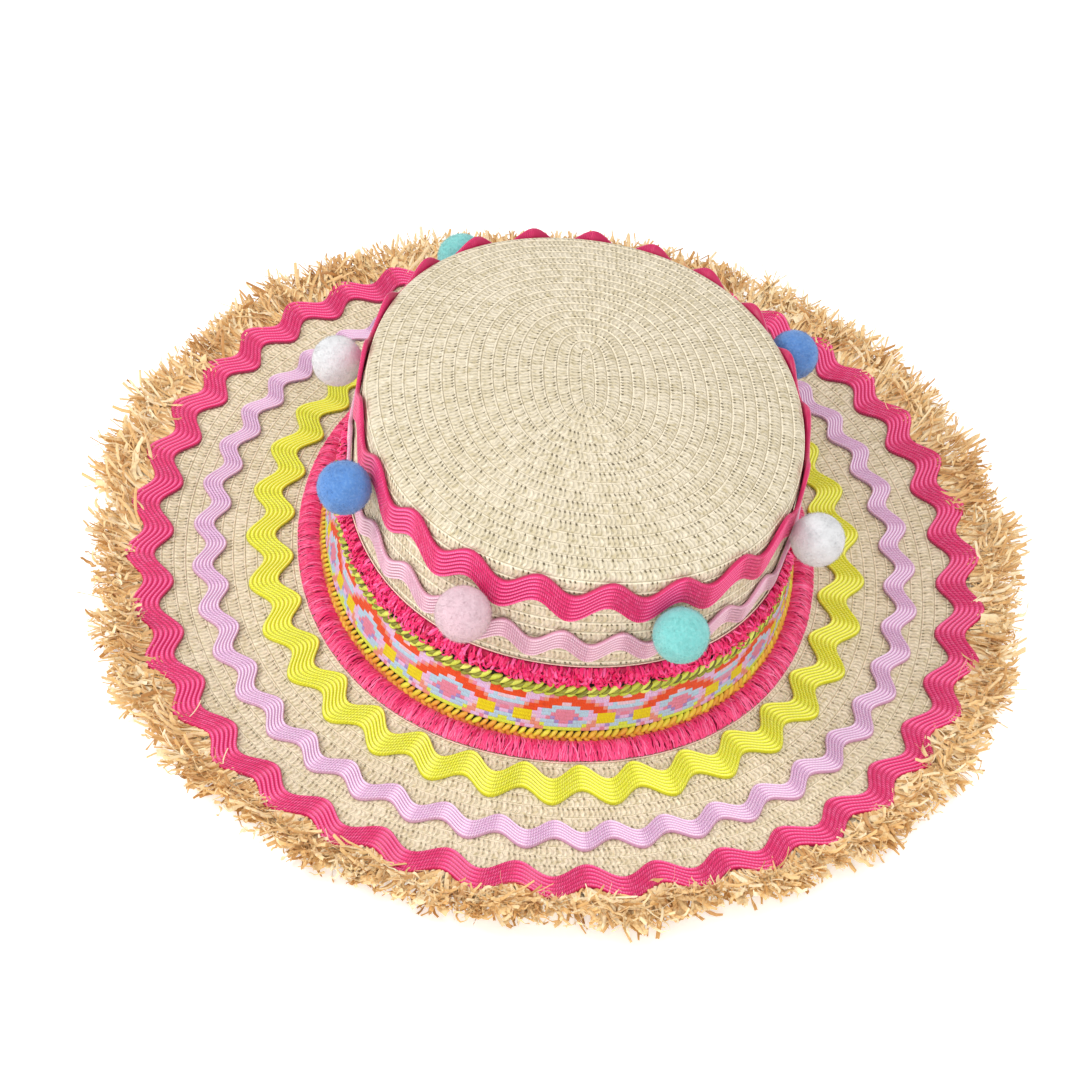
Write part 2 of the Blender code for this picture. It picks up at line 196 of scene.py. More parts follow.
# Raffia: spans of each kind of strand. Roots are measured outwards from the brim's edge and starts
# upwards from its face. Lengths and rises are shares of the fringe's own, leans and bends are
# spreads in radians, and widths are half widths.
RAFFIA_KINDS = (
    {"name": "raffia_strands", "count": 3000, "root": (-0.0075, -0.0020), "start": (0.0002, 0.0009),
     "length": (0.70, 1.0), "lean": 0.32, "bend": 1.3, "rise": (0.05, 0.80),
     "width": (0.00030, 0.00090), "tones": (0.05, 0.95)},
    # The under layer takes deeper tones, painted shade beneath the strands
    {"name": "raffia_shaded_under_layer", "count": 1000, "root": (-0.0020, 0.0000), "start": (-0.0030, -0.0004),
     "length": (0.60, 0.9), "lean": 0.40, "bend": 1.2, "rise": (-0.45, 0.15),
     "width": (0.00040, 0.00090), "tones": (0.0, 0.6)},
    {"name": "raffia_curls", "count": 1600, "root": (0.0005, 0.0120), "start": (0.0005, 0.0045),
     "length": (0.20, 0.48), "lean": 1.1, "bend": 1.8, "rise": (-0.2, 0.35),
     "width": (0.00028, 0.00075), "tones": (0.1, 1.0)},
    {"name": "raffia_films", "count": 520, "root": (-0.0010, 0.0080), "start": (0.0000, 0.0020),
     "length": (0.30, 0.60), "lean": 0.6, "bend": 0.9, "rise": (-0.2, 0.3),
     "width": (0.00090, 0.00200), "tones": (0.6, 0.9)},
    {"name": "raffia_hairs", "count": 500, "root": (-0.0060, 0.0030), "start": (0.0004, 0.0015),
     "length": (0.5, 1.1), "lean": 0.6, "bend": 1.6, "rise": (0.1, 1.0),
     "width": (0.00007, 0.00015), "tones": (0.5, 1.0)},
)

# Single strands over the outer trim, at angles in degrees and with leans in radians
STRAYS = (
    {"angle": 196.6, "radius": 0.1572, "length": 0.0085, "lean": 1.0},
    {"angle": 213.2, "radius": 0.1501, "length": 0.0105, "lean": 0.9},
    {"angle": 221.9, "radius": 0.1537, "length": 0.0090, "lean": 0.6},
    {"angle": 271.9, "radius": 0.1545, "length": 0.0080, "lean": 0.2},
    {"angle": 155.0, "radius": 0.1560, "length": 0.0090, "lean": -0.5},
    {"angle": 318.0, "radius": 0.1570, "length": 0.0100, "lean": -0.7},
    {"angle": 350.0, "radius": 0.1575, "length": 0.0080, "lean": 0.8},
    {"angle": 60.0, "radius": 0.1565, "length": 0.0090, "lean": -0.4},
)

POMPOM_WOOLS = ("light_pink_wool", "mint_wool", "white_wool", "blue_wool",
                "light_pink_wool", "mint_wool", "white_wool", "blue_wool")

# Colours as they look on a screen, each thread and braid from its deepest to its lightest
# Straws: the pit colour is painted shade for the pits, the slits between bars and the row grooves; ladder
# is how much painted shade the slits get
STRAWS = {
    "crown_straw": {"straw": (0.905, 0.855, 0.755), "pit_shade": (0.36, 0.30, 0.17), "pit_shade_share": 0.92,
                    "ladder": 0.22},
    "brim_straw": {"straw": (0.930, 0.870, 0.755), "pit_shade": (0.50, 0.42, 0.27), "pit_shade_share": 0.80,
                   "ladder": 0.36},
}
# Braids: the deepest colour is painted shade for grooves and gap lines, the lightest a painted highlight
# for crests and glints, the middle the braid's own colour
BRAIDS = {
    "hot_pink_braid": ((0.74, 0.01, 0.31), (0.95, 0.15, 0.46), (1.00, 0.50, 0.72)),
    "light_pink_braid": ((0.84, 0.58, 0.69), (0.94, 0.74, 0.82), (1.00, 0.90, 0.95)),
    "yellow_braid": ((0.80, 0.80, 0.06), (0.98, 0.98, 0.23), (1.00, 1.00, 0.54)),
    "lilac_braid": ((0.83, 0.61, 0.78), (0.95, 0.78, 0.91), (1.00, 0.93, 0.99)),
}
# Fringe threads: the deepest colour is painted shade and the lightest a painted highlight, between them the
# threads' own pinks
UPPER_FRINGE_THREADS = ((0.74, 0.00, 0.26), (0.90, 0.01, 0.36), (0.98, 0.08, 0.45), (1.00, 0.38, 0.64))
LOWER_FRINGE_THREADS = ((0.76, 0.01, 0.26), (0.92, 0.07, 0.39), (0.98, 0.25, 0.50), (1.00, 0.48, 0.67))
# Fringe grounds: deep crimson rings, painted shade between the threads
FRINGE_GROUND_SHADE = ((0.74, 0.00, 0.28), (0.86, 0.03, 0.36))
FRINGE_EDGE = ((0.98, 0.82, 0.76), (1.00, 0.90, 0.85))
# Cord gaps: nearly black rings, painted shade in the gaps between the stitches
CORD_GAP_SHADE = ((0.12, 0.09, 0.04), (0.20, 0.14, 0.06))
# Cords: the deepest colour is painted shade, worn by the ground rings and by stitches with low tones; the
# rest are the threads' own colours
LIME_THREADS = ((0.36, 0.32, 0.10), (0.58, 0.58, 0.16), (0.78, 0.82, 0.25), (0.90, 0.93, 0.44))
GOLD_THREADS = ((0.66, 0.22, 0.06), (0.80, 0.44, 0.13), (0.90, 0.68, 0.18), (0.87, 0.84, 0.22))
# Raffia: the deepest colour is painted shade and the lightest a painted highlight, between them the
# raffia's own golds
RAFFIA_COLOURS = ((0.77, 0.56, 0.31), (0.92, 0.75, 0.49), (0.97, 0.85, 0.63), (1.00, 0.94, 0.79))
WOOLS = {
    "light_pink_wool": (0.850, 0.725, 0.760),
    "mint_wool": (0.480, 0.790, 0.775),
    "white_wool": (0.850, 0.850, 0.855),
    "blue_wool": (0.335, 0.530, 0.785),
}

# Grain of the materials: noise scales, and depths of bump in metres
STRAW_GRAIN = {"blotches": 45.0, "flecks": 560.0, "bump": 0.00045}
BRAID_GRAIN = {"blotches": 90.0, "bump": 0.00028}
WOOL_GRAIN = {"blotches": 300.0, "fibres": 1100.0, "bump": 0.0003}
BAND_BUMP = 0.00012
THREAD_BUMP = 0.0002
CORD_GRAIN = 900.0
RAFFIA_GRAIN = 900.0
CORD_GAP_SHADE_GRAIN = 600.0
FRINGE_GRAIN = 1200.0
FRINGE_GROUND_GRAIN = 700.0

# Light, in watts and metres
WORLD_STRENGTH = 0.71
FLOOR_GLOW = 0.35
FLOOR_HALF_WIDTH = 4
FLOOR_HEIGHT = -0.0002
LAMP_TARGET = Vector((0, 0, 0.03))
LAMPS = (
    {"name": "right", "place": (0.90, 0.25, 0.90), "size": 0.35, "watts": 3.6},
    {"name": "left", "place": (-0.95, -0.05, 0.80), "size": 0.35, "watts": 6.0},
    {"name": "front", "place": (-0.15, -1.10, 0.60), "size": 1.0, "watts": 6.4},
)

# The camera fitted to the photo, in degrees, metres and millimetres
CAMERA_AZIMUTH = -4.408
CAMERA_ELEVATION = 40.859
CAMERA_ROLL = 5.170
CAMERA_DISTANCE = 0.84740
CAMERA_TARGET = Vector((-0.008537, -0.032738, 0.028235))
CAMERA_LENS = 77.75
SENSOR_WIDTH = 36.0

# Heights up the crown's wall
HEAD_LINE = STRAW_THICKNESS + BRIM_INNER_RISE
CROWN_FOOT = HEAD_LINE + CLEARANCE
LOWER_CORD_FOOT = HEAD_LINE + FRINGE_ROOT_THICKNESS + 2 * CLEARANCE
BAND_FOOT = LOWER_CORD_FOOT + CORD_WIDTH + CLEARANCE
UPPER_CORD_FOOT = BAND_FOOT + BAND_WIDTH + CLEARANCE
UPPER_FRINGE_FOOT = UPPER_CORD_FOOT + CORD_WIDTH + CLEARANCE
UPPER_FRINGE_TOP = UPPER_FRINGE_FOOT + UPPER_FRINGE_LENGTH
BROAD_SPAN = BROAD_BRAID["width"] + 2 * BROAD_BRAID["swing"]
NARROW_SPAN = NARROW_BRAID["width"] + 2 * NARROW_BRAID["swing"]
POMPOM_TRIM_FOOT = UPPER_FRINGE_TOP + BARE_WALL_ABOVE_FRINGE
EDGE_TRIM_FOOT = POMPOM_TRIM_FOOT + NARROW_SPAN + BARE_WALL_BETWEEN_TRIMS
CROWN_TOP = EDGE_TRIM_FOOT + BROAD_SPAN
WALL_TOP = CROWN_TOP - TOP_ROUNDING
FLAT_TOP_RADIUS = TOP_RADIUS - TOP_ROUNDING

# Radii across the brim
LOWER_FRINGE_INNER = HEAD_RADIUS + 2 * CLEARANCE
LOWER_FRINGE_OUTER = LOWER_FRINGE_INNER + LOWER_FRINGE_LENGTH
INNER_TRIM_RADIUS = LOWER_FRINGE_OUTER + BARE_BRIM_BESIDE_FRINGE + BROAD_SPAN / 2
MIDDLE_TRIM_RADIUS = INNER_TRIM_RADIUS + BROAD_SPAN / 2 + BARE_BRIM_BETWEEN_TRIMS + NARROW_SPAN / 2
OUTER_TRIM_RADIUS = MIDDLE_TRIM_RADIUS + NARROW_SPAN / 2 + BARE_BRIM_BETWEEN_TRIMS + BROAD_SPAN / 2
BRIM_RADIUS = OUTER_TRIM_RADIUS + BROAD_SPAN / 2 - BRIM_OVERHUNG_BY_TRIM
BRIM_WIDTH = BRIM_RADIUS - HEAD_RADIUS
REST_INNER = HEAD_RADIUS + REST_FROM * BRIM_WIDTH
REST_OUTER = HEAD_RADIUS + REST_TO * BRIM_WIDTH

TRIM_MIDDLES = {
    "crown_edge_trim": EDGE_TRIM_FOOT + BROAD_SPAN / 2,
    "crown_pompom_trim": POMPOM_TRIM_FOOT + NARROW_SPAN / 2,
    "brim_inner_trim": INNER_TRIM_RADIUS,
    "brim_middle_trim": MIDDLE_TRIM_RADIUS,
    "brim_outer_trim": OUTER_TRIM_RADIUS,
}

# How the sewn-on band hangs, foot first: it stands off the wall and sits a little low
BAND_HANG = (
    {"height": LOWER_CORD_FOOT, "stand_off": 0.0040, "drop": 0.0020},
    {"height": BAND_FOOT, "stand_off": 0.0029, "drop": 0.0014},
    {"height": UPPER_CORD_FOOT, "stand_off": 0.0016, "drop": 0.0016},
    {"height": UPPER_FRINGE_FOOT, "stand_off": 0.0013, "drop": 0.0016},
    {"height": UPPER_FRINGE_TOP, "stand_off": 0.0003, "drop": 0.0019},
)


def oval(angle, radius, stretch):
    """Points of an oval that is a circle with its two halves pulled apart along Y."""
    side = np.sin(angle)
    return radius * np.cos(angle), radius * side + stretch * (3 * side - side**3) / 2


def brim_top(radius):
    """Height of the brim's upper face: a flat ring with a gentle rise on each side of it."""
    inward = np.clip((REST_INNER - radius) / (REST_INNER - HEAD_RADIUS), 0, None)
    outward = np.clip((radius - REST_OUTER) / (BRIM_RADIUS - REST_OUTER), 0, None)
    return STRAW_THICKNESS + BRIM_INNER_RISE * inward + BRIM_EDGE_RISE * outward


def wall_radius(height):
    """Radius of the crown's outer face, which narrows evenly up to the rounded edge."""
    share = np.clip((height - CROWN_FOOT) / (WALL_TOP - CROWN_FOOT), 0, 1)
    return HEAD_RADIUS + share * (TOP_RADIUS - HEAD_RADIUS)


def on_brim(angle, radius, height):
    """World points of the brim at angles, radii and heights."""
    x, y = oval(angle, radius, OVAL_STRETCH)
    return np.stack([x, y, height + 0 * x], axis=-1)


def row_stretch(radius):
    """Oval stretch of the crown's top, which is less near the middle."""
    inwards = np.minimum(1, radius / FLAT_TOP_RADIUS)
    return CENTRE_STRETCH + (OVAL_STRETCH - CENTRE_STRETCH) * inwards


def on_crown(angle, radius, height):
    """World points of the crown, which leans to +X and whose top edge drops on that side."""
    x, y = oval(angle, radius, row_stretch(radius))
    share = np.clip((height - CROWN_FOOT) / (CROWN_TOP - CROWN_FOOT), 0, 1)
    drop = share * TOP_EDGE_DROP * x / TOP_RADIUS
    return np.stack([x + share * CROWN_LEAN, y, height - drop], axis=-1)


def on_band(angle, off_wall, height):
    """World points of the band, its cords and its upper fringe, as they hang on the crown's wall."""
    heights, stand_offs, drops = ([place[key] for place in BAND_HANG]
                                  for key in ("height", "stand_off", "drop"))
    radius = wall_radius(height) + off_wall + np.interp(height, heights, stand_offs)
    return on_crown(angle, radius, height - np.interp(height, heights, drops))


def way_round(radius, stretch):
    """Angles once round an oval with the share of its length passed at each, and its length."""
    angles = np.linspace(-math.pi, math.pi, 1441)
    x, y = oval(angles, radius, stretch)
    passed = np.concatenate([[0], np.cumsum(np.hypot(np.diff(x), np.diff(y)))])
    return angles, passed / passed[-1], passed[-1]


def even_angles(shares, radius, start=0.0):
    """Angles evenly spaced by length round an oval, from a start angle in degrees."""
    angles, passed, _ = way_round(radius, OVAL_STRETCH)
    first = np.interp(math.radians(start), angles, passed)
    return np.interp((first + shares) % 1.0, passed, angles)


def length_per_turn(angle, radius):
    """Metres of an oval's outline for each radian, at some angles."""
    x_rate = -radius * np.sin(angle)
    y_rate = radius * np.cos(angle) + 1.5 * OVAL_STRETCH * np.cos(angle) ** 3
    return np.hypot(x_rate, y_rate)


def screen(colour):
    """Linear value of a colour given as it looks on a screen."""
    return tuple(((c + 0.055) / 1.055) ** 2.4 if c > 0.04 else c / 12.92 for c in colour) + (1,)


def put(tree, kind, *values, **settings):
    """Add a node, set its properties and feed its inputs in order. None leaves an input alone."""
    node = tree.nodes.new(kind)
    for key, value in settings.items():
        setattr(node, key, value)
    for socket, value in zip(node.inputs, values):
        if isinstance(value, bpy.types.NodeSocket):
            tree.links.new(value, socket)
        elif value is not None:
            socket.default_value = value
    return node


def sums(tree, operation, *values):
    """Output of a math node."""
    return put(tree, "ShaderNodeMath", *values, operation=operation).outputs[0]


def product(tree, *values):
    """Product of two or more values."""
    result = values[0]
    for value in values[1:]:
        result = sums(tree, "MULTIPLY", result, value)
    return result


def blended(tree, share, first, second, way="MIX"):
    """Colour that goes from the first to the second with the share."""
    node = tree.nodes.new("ShaderNodeMix")
    node.data_type = "RGBA"
    node.blend_type = way
    for index, value in ((0, share), (6, first), (7, second)):
        if isinstance(value, bpy.types.NodeSocket):
            tree.links.new(value, node.inputs[index])
        else:
            node.inputs[index].default_value = value
    return node.outputs[2]


def stretched(tree, value, low, high, to_low=0.0, to_high=1.0):
    """A value mapped smoothly from one range to another."""
    node = put(tree, "ShaderNodeMapRange", value, low, high, to_low, to_high)
    node.interpolation_type = "SMOOTHSTEP"
    return node.outputs[0]


def tinted(tree, shade, colour, value, low, high, share):
    """A shade that takes up to some share of a colour as a value goes from low to high."""
    return blended(tree, stretched(tree, value, low, high, 0.0, share), shade, colour)


def distance(tree, value, middle):
    """How far a value is from a middle."""
    return sums(tree, "ABSOLUTE", sums(tree, "SUBTRACT", value, middle))


def mottle(tree, scale, detail=2.0):
    """Noise fixed to the object, about 0 to 1."""
    place = put(tree, "ShaderNodeTexCoord").outputs["Object"]
    return put(tree, "ShaderNodeTexNoise", place, None, scale, detail).outputs[0]


def first_two(tree, vector):
    """First two parts of a vector."""
    return put(tree, "ShaderNodeSeparateXYZ", vector).outputs[:2]


def chance_of_cell(tree, along, row=None):
    """Random value of each whole number along, in each row."""
    cell = put(tree, "ShaderNodeCombineXYZ", sums(tree, "FLOOR", along), row)
    return put(tree, "ShaderNodeTexWhiteNoise", cell.outputs[0]).outputs["Value"]


def new_group(name, inputs, outputs):
    """Empty node group of one vector, some values in and some values out, with its end nodes."""
    tree = bpy.data.node_groups.new(name, "ShaderNodeTree")
    tree.interface.new_socket("UV", in_out="INPUT", socket_type="NodeSocketVector")
    for label in inputs:
        tree.interface.new_socket(label, in_out="INPUT", socket_type="NodeSocketFloat")
    for label in outputs:
        tree.interface.new_socket(label, in_out="OUTPUT", socket_type="NodeSocketFloat")
    return tree, tree.nodes.new("NodeGroupInput"), tree.nodes.new("NodeGroupOutput")


def give_out(tree, out, *values):
    """Link values to a group's outputs in order."""
    for value, socket in zip(values, out.inputs):
        tree.links.new(value, socket)


def stitches_group():
    """Straw braid from a UV that counts stitches along and rows across, inner edge first.

    Its Ladder input sets how much painted shade the slits between the bars of a row get. The Pits and
    Groove outputs are masks for painted shade, and the Ridge output is a mask for a painted highlight.
    """
    outputs = ("Height", "Pit shade", "Ridge highlight", "Groove shade", "Tone")
    tree, given, out = new_group("straw_stitches", ("Slit shade",), outputs)
    along, across = first_two(tree, given.outputs[0])
    share = sums(tree, "FRACT", across)
    row = sums(tree, "FLOOR", across)
    bend = product(tree, distance(tree, share, 0.6), 0.7)
    noise = put(tree, "ShaderNodeTexNoise", given.outputs[0], None, 0.8, 2.0).outputs[0]
    place = sums(tree, "ADD", sums(tree, "ADD", along, bend), product(tree, row, 0.37))
    place = sums(tree, "ADD", place, product(tree, noise, 0.9))
    wave = sums(tree, "COSINE", product(tree, place, math.tau))
    chance = chance_of_cell(tree, place, row)
    bar = stretched(tree, wave, -1.0, 0.4)
    ladder = product(tree, stretched(tree, share, 0.12, 0.26), stretched(tree, share, 1.0, 0.92))
    # Gap marks the spaces between bars, where pits and slits are painted in shade
    gap = stretched(tree, wave, -0.35, -0.90)
    shifted = sums(tree, "ADD", share, product(tree, chance, 0.12))
    # Pits: painted shade in holes near each row's inner edge, fainter ones mid-row
    hole = product(tree, gap, stretched(tree, distance(tree, shifted, 0.30), 0.15, 0.05))
    faint = product(tree, gap, stretched(tree, distance(tree, shifted, 0.80), 0.14, 0.03), 0.45)
    shaded_pits = product(tree, sums(tree, "MAXIMUM", hole, faint), stretched(tree, chance, 0.15, 0.70, 0.15, 1.0))
    # Slits: painted shade between the bars, scaled by the group's input
    slit_shade = product(tree, gap, stretched(tree, share, 0.25, 0.40), stretched(tree, share, 1.0, 0.80),
                   given.outputs[1])
    # Ridge: painted highlight on the raised edge near each row's inner side
    ridge_highlight = product(tree, stretched(tree, share, 0.02, 0.07), stretched(tree, share, 0.20, 0.11),
                    stretched(tree, wave, -1.0, 0.2, 0.15, 1.0))
    # Groove: painted shade at each row's two edges
    groove = sums(tree, "MAXIMUM", stretched(tree, share, 0.05, 0.0), stretched(tree, share, 0.94, 1.0))
    height = sums(tree, "SUBTRACT", product(tree, bar, ladder, 0.6), shaded_pits)
    give_out(tree, out, height, sums(tree, "MAXIMUM", shaded_pits, slit_shade), ridge_highlight, groove, chance)
    return tree


def weave_group():
    """Rick-rack from a UV that counts cross ribs along and ribs across.

    Satin is 1 where the ribs run smooth and 0 where they are knitted across. Its Dark output is a mask for
    painted shade in the grooves and the knit's gap lines, and its Light output one for painted highlights
    on the ribs' crests and the knit's glints.
    """
    tree, given, out = new_group("braid_weave", ("Satin",), ("Height", "Shade", "Light"))
    along, across = first_two(tree, given.outputs[0])
    satin = given.outputs[1]
    knit = sums(tree, "SUBTRACT", 1.0, satin)
    share = sums(tree, "FRACT", across)
    rib = sums(tree, "SINE", product(tree, share, math.pi))
    slant = sums(tree, "ADD", along, product(tree, share, 0.5))
    cross = sums(tree, "COSINE", product(tree, slant, math.tau))
    chance = chance_of_cell(tree, slant, sums(tree, "FLOOR", across))
    # Painted shade in the grooves between ribs, strongest where the ribs run smooth
    groove = product(tree, stretched(tree, rib, 0.70, 0.05), stretched(tree, satin, 0.0, 1.0, 0.6, 1.0))
    # Painted shade in the gap lines across the knit
    gap_shade = product(tree, stretched(tree, cross, 0.1, -0.9), stretched(tree, satin, 0.0, 1.0, 0.75, 0.15))
    # Painted highlights: dashed along the rib crests where satin, glints on the knit
    dash = stretched(tree, cross, -0.9, 0.3, 0.35, 1.0)
    crest_highlight = product(tree, stretched(tree, rib, 0.72, 1.0), dash, satin, 0.9)
    glint = product(tree, stretched(tree, cross, 0.1, 0.9), stretched(tree, chance, 0.2, 1.0), rib, knit)
    height = sums(tree, "ADD", product(tree, cross, knit, 0.35), rib)
    give_out(tree, out, height, sums(tree, "MAXIMUM", groove, gap_shade), sums(tree, "MAXIMUM", crest_highlight, glint))
    return tree


def new_material(name):
    """Material with its tree and its Principled shader."""
    made = bpy.data.materials.new(name)
    made.use_nodes = True
    return made, made.node_tree, made.node_tree.nodes["Principled BSDF"]


def finish_surface(tree, shader, colour, roughness, height=None, depth=0.0, sheen=0.0):
    """Feed a shader its colour, roughness, bump and sheen."""
    tree.links.new(colour, shader.inputs["Base Color"])
    shader.inputs["Roughness"].default_value = roughness
    shader.inputs["Sheen Weight"].default_value = sheen
    if height is not None:
        bump = put(tree, "ShaderNodeBump")
        bump.inputs["Distance"].default_value = depth
        tree.links.new(height, bump.inputs["Height"])
        tree.links.new(bump.outputs[0], shader.inputs["Normal"])


def straw_material(name):
    """Sewn paper straw: painted shade in the holes and slits between its bars and in the grooves at its
    rows' edges, and pale ridges between its rows painted as highlights.
    """
    made, tree, shader = new_material(name)
    look = STRAWS[name]
    uv = put(tree, "ShaderNodeUVMap", uv_map="rows").outputs[0]
    stitches = put(tree, "ShaderNodeGroup", uv, look["ladder"], node_tree=STITCHES)
    height, shaded_pits, ridge_highlight, groove, tone = stitches.outputs
    red, green, blue = look["straw"]
    # pale is the painted highlight colour, for the ridges and the light flecks
    pale = screen([min(1, c * 1.04 + 0.03) for c in look["straw"]])
    tan = screen((red * 0.88, green * 0.86, blue * 0.77))
    # The pit colour is the painted shade colour, for the pits, slits and grooves
    shade_colour = screen(look["pit_shade"])
    blotches = mottle(tree, STRAW_GRAIN["blotches"])
    flecks = mottle(tree, STRAW_GRAIN["flecks"], 3.0)
    shade = tinted(tree, screen(look["straw"]), tan, tone, 0.0, 1.0, 0.40)
    shade = tinted(tree, shade, tan, blotches, 0.35, 0.75, 0.3)
    # Fine flecks: the pale ones are painted highlights on the grain, the tan ones darker grain
    shade = tinted(tree, shade, pale, flecks, 0.52, 0.68, 0.8)
    shade = tinted(tree, shade, tan, flecks, 0.48, 0.30, 0.9)
    # Painted highlight on the ridges, then painted shade in the grooves, pits and slits
    shade = blended(tree, product(tree, ridge_highlight, 0.80), shade, pale)
    shade = blended(tree, product(tree, groove, 0.40), shade, shade_colour)
    shade = blended(tree, product(tree, shaded_pits, look["pit_shade_share"]), shade, shade_colour)
    rough = sums(tree, "ADD", height, flecks)
    finish_surface(tree, shader, shade, 0.62, rough, STRAW_GRAIN["bump"], 0.05)
    return made


def braid_material(name):
    """Satin rick-rack whose ribs run smooth as a wave goes out and are knitted as it comes in, with painted
    shade in its grooves and gap lines and painted highlights on its crests and glints.
    """
    made, tree, shader = new_material(name)
    deep, base, light = (screen(colour) for colour in BRAIDS[name])
    uv = put(tree, "ShaderNodeUVMap", uv_map="ribs").outputs[0]
    slope = put(tree, "ShaderNodeAttribute", attribute_name="slope").outputs["Fac"]
    weave = put(tree, "ShaderNodeGroup", uv, stretched(tree, slope, -0.5, 0.4), node_tree=WEAVE)
    height, shade_share, highlight_share = weave.outputs
    blotches = mottle(tree, BRAID_GRAIN["blotches"])
    shade = tinted(tree, base, deep, blotches, 0.3, 0.7, 0.2)
    # The deepest colour goes in as painted shade and the lightest as a painted highlight; random blotches
    # also take some deepest colour
    shade = blended(tree, product(tree, shade_share, 0.95), shade, deep)
    shade = blended(tree, product(tree, highlight_share, 0.90), shade, light)
    finish_surface(tree, shader, shade, 0.45, height, BRAID_GRAIN["bump"], 0.08)
    return made


def band_material():
    """Woven ribbon in the colours of its chart, with fine threads running up it."""
    made, tree, shader = new_material("woven_band")
    colour = put(tree, "ShaderNodeAttribute", attribute_name="chart_colour").outputs["Color"]
    uv = put(tree, "ShaderNodeUVMap", uv_map="threads").outputs[0]
    along = product(tree, first_two(tree, uv)[0], THREADS_PER_SQUARE)
    thread = sums(tree, "COSINE", product(tree, along, math.tau))
    chance = chance_of_cell(tree, along)
    darker = blended(tree, 1.0, colour, (0.75, 0.62, 0.68, 1), "MULTIPLY")
    shade = tinted(tree, colour, darker, thread, 0.0, -1.0, 0.18)
    shade = tinted(tree, shade, darker, chance, 0.3, 1.0, 0.18)
    finish_surface(tree, shader, shade, 0.50, thread, BAND_BUMP, 0.1)
    return made


def toned_material(name, colours, roughness, fibre_scale, fibre_share=0.35):
    """Threads or straws whose tone picks a colour between the deepest and the lightest, which in several
    colour tables are painted shade and painted highlight.
    """
    made, tree, shader = new_material(name)
    tone = put(tree, "ShaderNodeAttribute", attribute_name="tone").outputs["Fac"]
    ramp = put(tree, "ShaderNodeValToRGB", tone)
    steps = ramp.color_ramp.elements
    while len(steps) < len(colours):
        steps.new(0.5)
    for index, colour in enumerate(colours):
        steps[index].position = index / (len(colours) - 1)
        steps[index].color = screen(colour)
    fibres = mottle(tree, fibre_scale, 3.0)
    darker = blended(tree, 1.0, ramp.outputs[0], (0.70, 0.60, 0.60, 1), "MULTIPLY")
    shade = tinted(tree, ramp.outputs[0], darker, fibres, 0.45, 0.75, fibre_share)
    finish_surface(tree, shader, shade, roughness, fibres, THREAD_BUMP, 0.1)
    return made


def wool_material(name):
    """Felted wool, softly mottled."""
    made, tree, shader = new_material(name)
    colour = WOOLS[name]
    deep = screen([c * 0.94 for c in colour])
    light = screen([1 - (1 - c) * 0.80 for c in colour])
    blotches = mottle(tree, WOOL_GRAIN["blotches"])
    fibres = mottle(tree, WOOL_GRAIN["fibres"], 3.0)
    shade = tinted(tree, screen(colour), deep, blotches, 0.35, 0.70, 0.7)
    shade = tinted(tree, shade, light, fibres, 0.45, 0.70, 0.5)
    finish_surface(tree, shader, shade, 1.0, fibres, WOOL_GRAIN["bump"], 0.3)
    return made


def floor_material():
    """Plain white floor that glows a little, as a lit studio table does."""
    made, tree, shader = new_material("pale_floor")
    tint = blended(tree, mottle(tree, 0.5), (0.93, 0.93, 0.93, 1), (0.95, 0.95, 0.95, 1))
    finish_surface(tree, shader, tint, 0.9)
    shader.inputs["Emission Color"].default_value = (1, 1, 1, 1)
    shader.inputs["Emission Strength"].default_value = FLOOR_GLOW
    return made


def dress(mesh, name, look, slot, *nodes):
    """Show a finished mesh as a piece that rides on the hat and stands for some CAD nodes."""
    mesh.materials.clear()
    mesh.materials.append(look)
    mesh.shade_smooth()
    piece = bpy.data.objects.new(name, mesh)
    bpy.context.scene.collection.objects.link(piece)
    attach(piece, "root")
    if nodes:
        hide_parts(*nodes)


def turned(name, profile, steps, closed):
    """Mesh of a profile of (radius, height) points spun once about Z.

    Returns it with each vertex's angle, radius, height and place on the profile.
    """
    bm = bmesh.new()
    kept = bm.verts.layers.float.new("kept")
    points = []
    for index, (radius, height) in enumerate(profile):
        point = bm.verts.new((radius, 0, height))
        point[kept] = index
        points.append(point)
    lines = [bm.edges.new(pair) for pair in zip(points, points[1:])]
    if closed:
        lines.append(bm.edges.new((points[-1], points[0])))
    bmesh.ops.spin(bm, geom=points + lines, axis=(0, 0, 1), cent=(0, 0, 0), angle=math.tau,
                   steps=steps, use_merge=True)
    bmesh.ops.recalc_face_normals(bm, faces=bm.faces)
    mesh = bpy.data.meshes.new(name)
    bm.to_mesh(mesh)
    bm.free()
    count = len(mesh.vertices)
    places = np.empty(count * 3)
    mesh.vertices.foreach_get("co", places)
    places = places.reshape(-1, 3)
    index = np.empty(count)
    mesh.attributes["kept"].data.foreach_get("value", index)
    angle = np.arctan2(places[:, 1], places[:, 0])
    return mesh, angle, np.hypot(places[:, 0], places[:, 1]), places[:, 2], np.rint(index).astype(int)


def bend(mesh, places):
    """Move a mesh's vertices to new places."""
    mesh.vertices.foreach_set("co", places.astype(np.float32).ravel())
    mesh.update()


def write_values(mesh, name, values):
    """Give each vertex of a mesh a value under a name."""
    layer = mesh.attributes.new(name, "FLOAT", "POINT")
    layer.data.foreach_set("value", values.astype(np.float32))


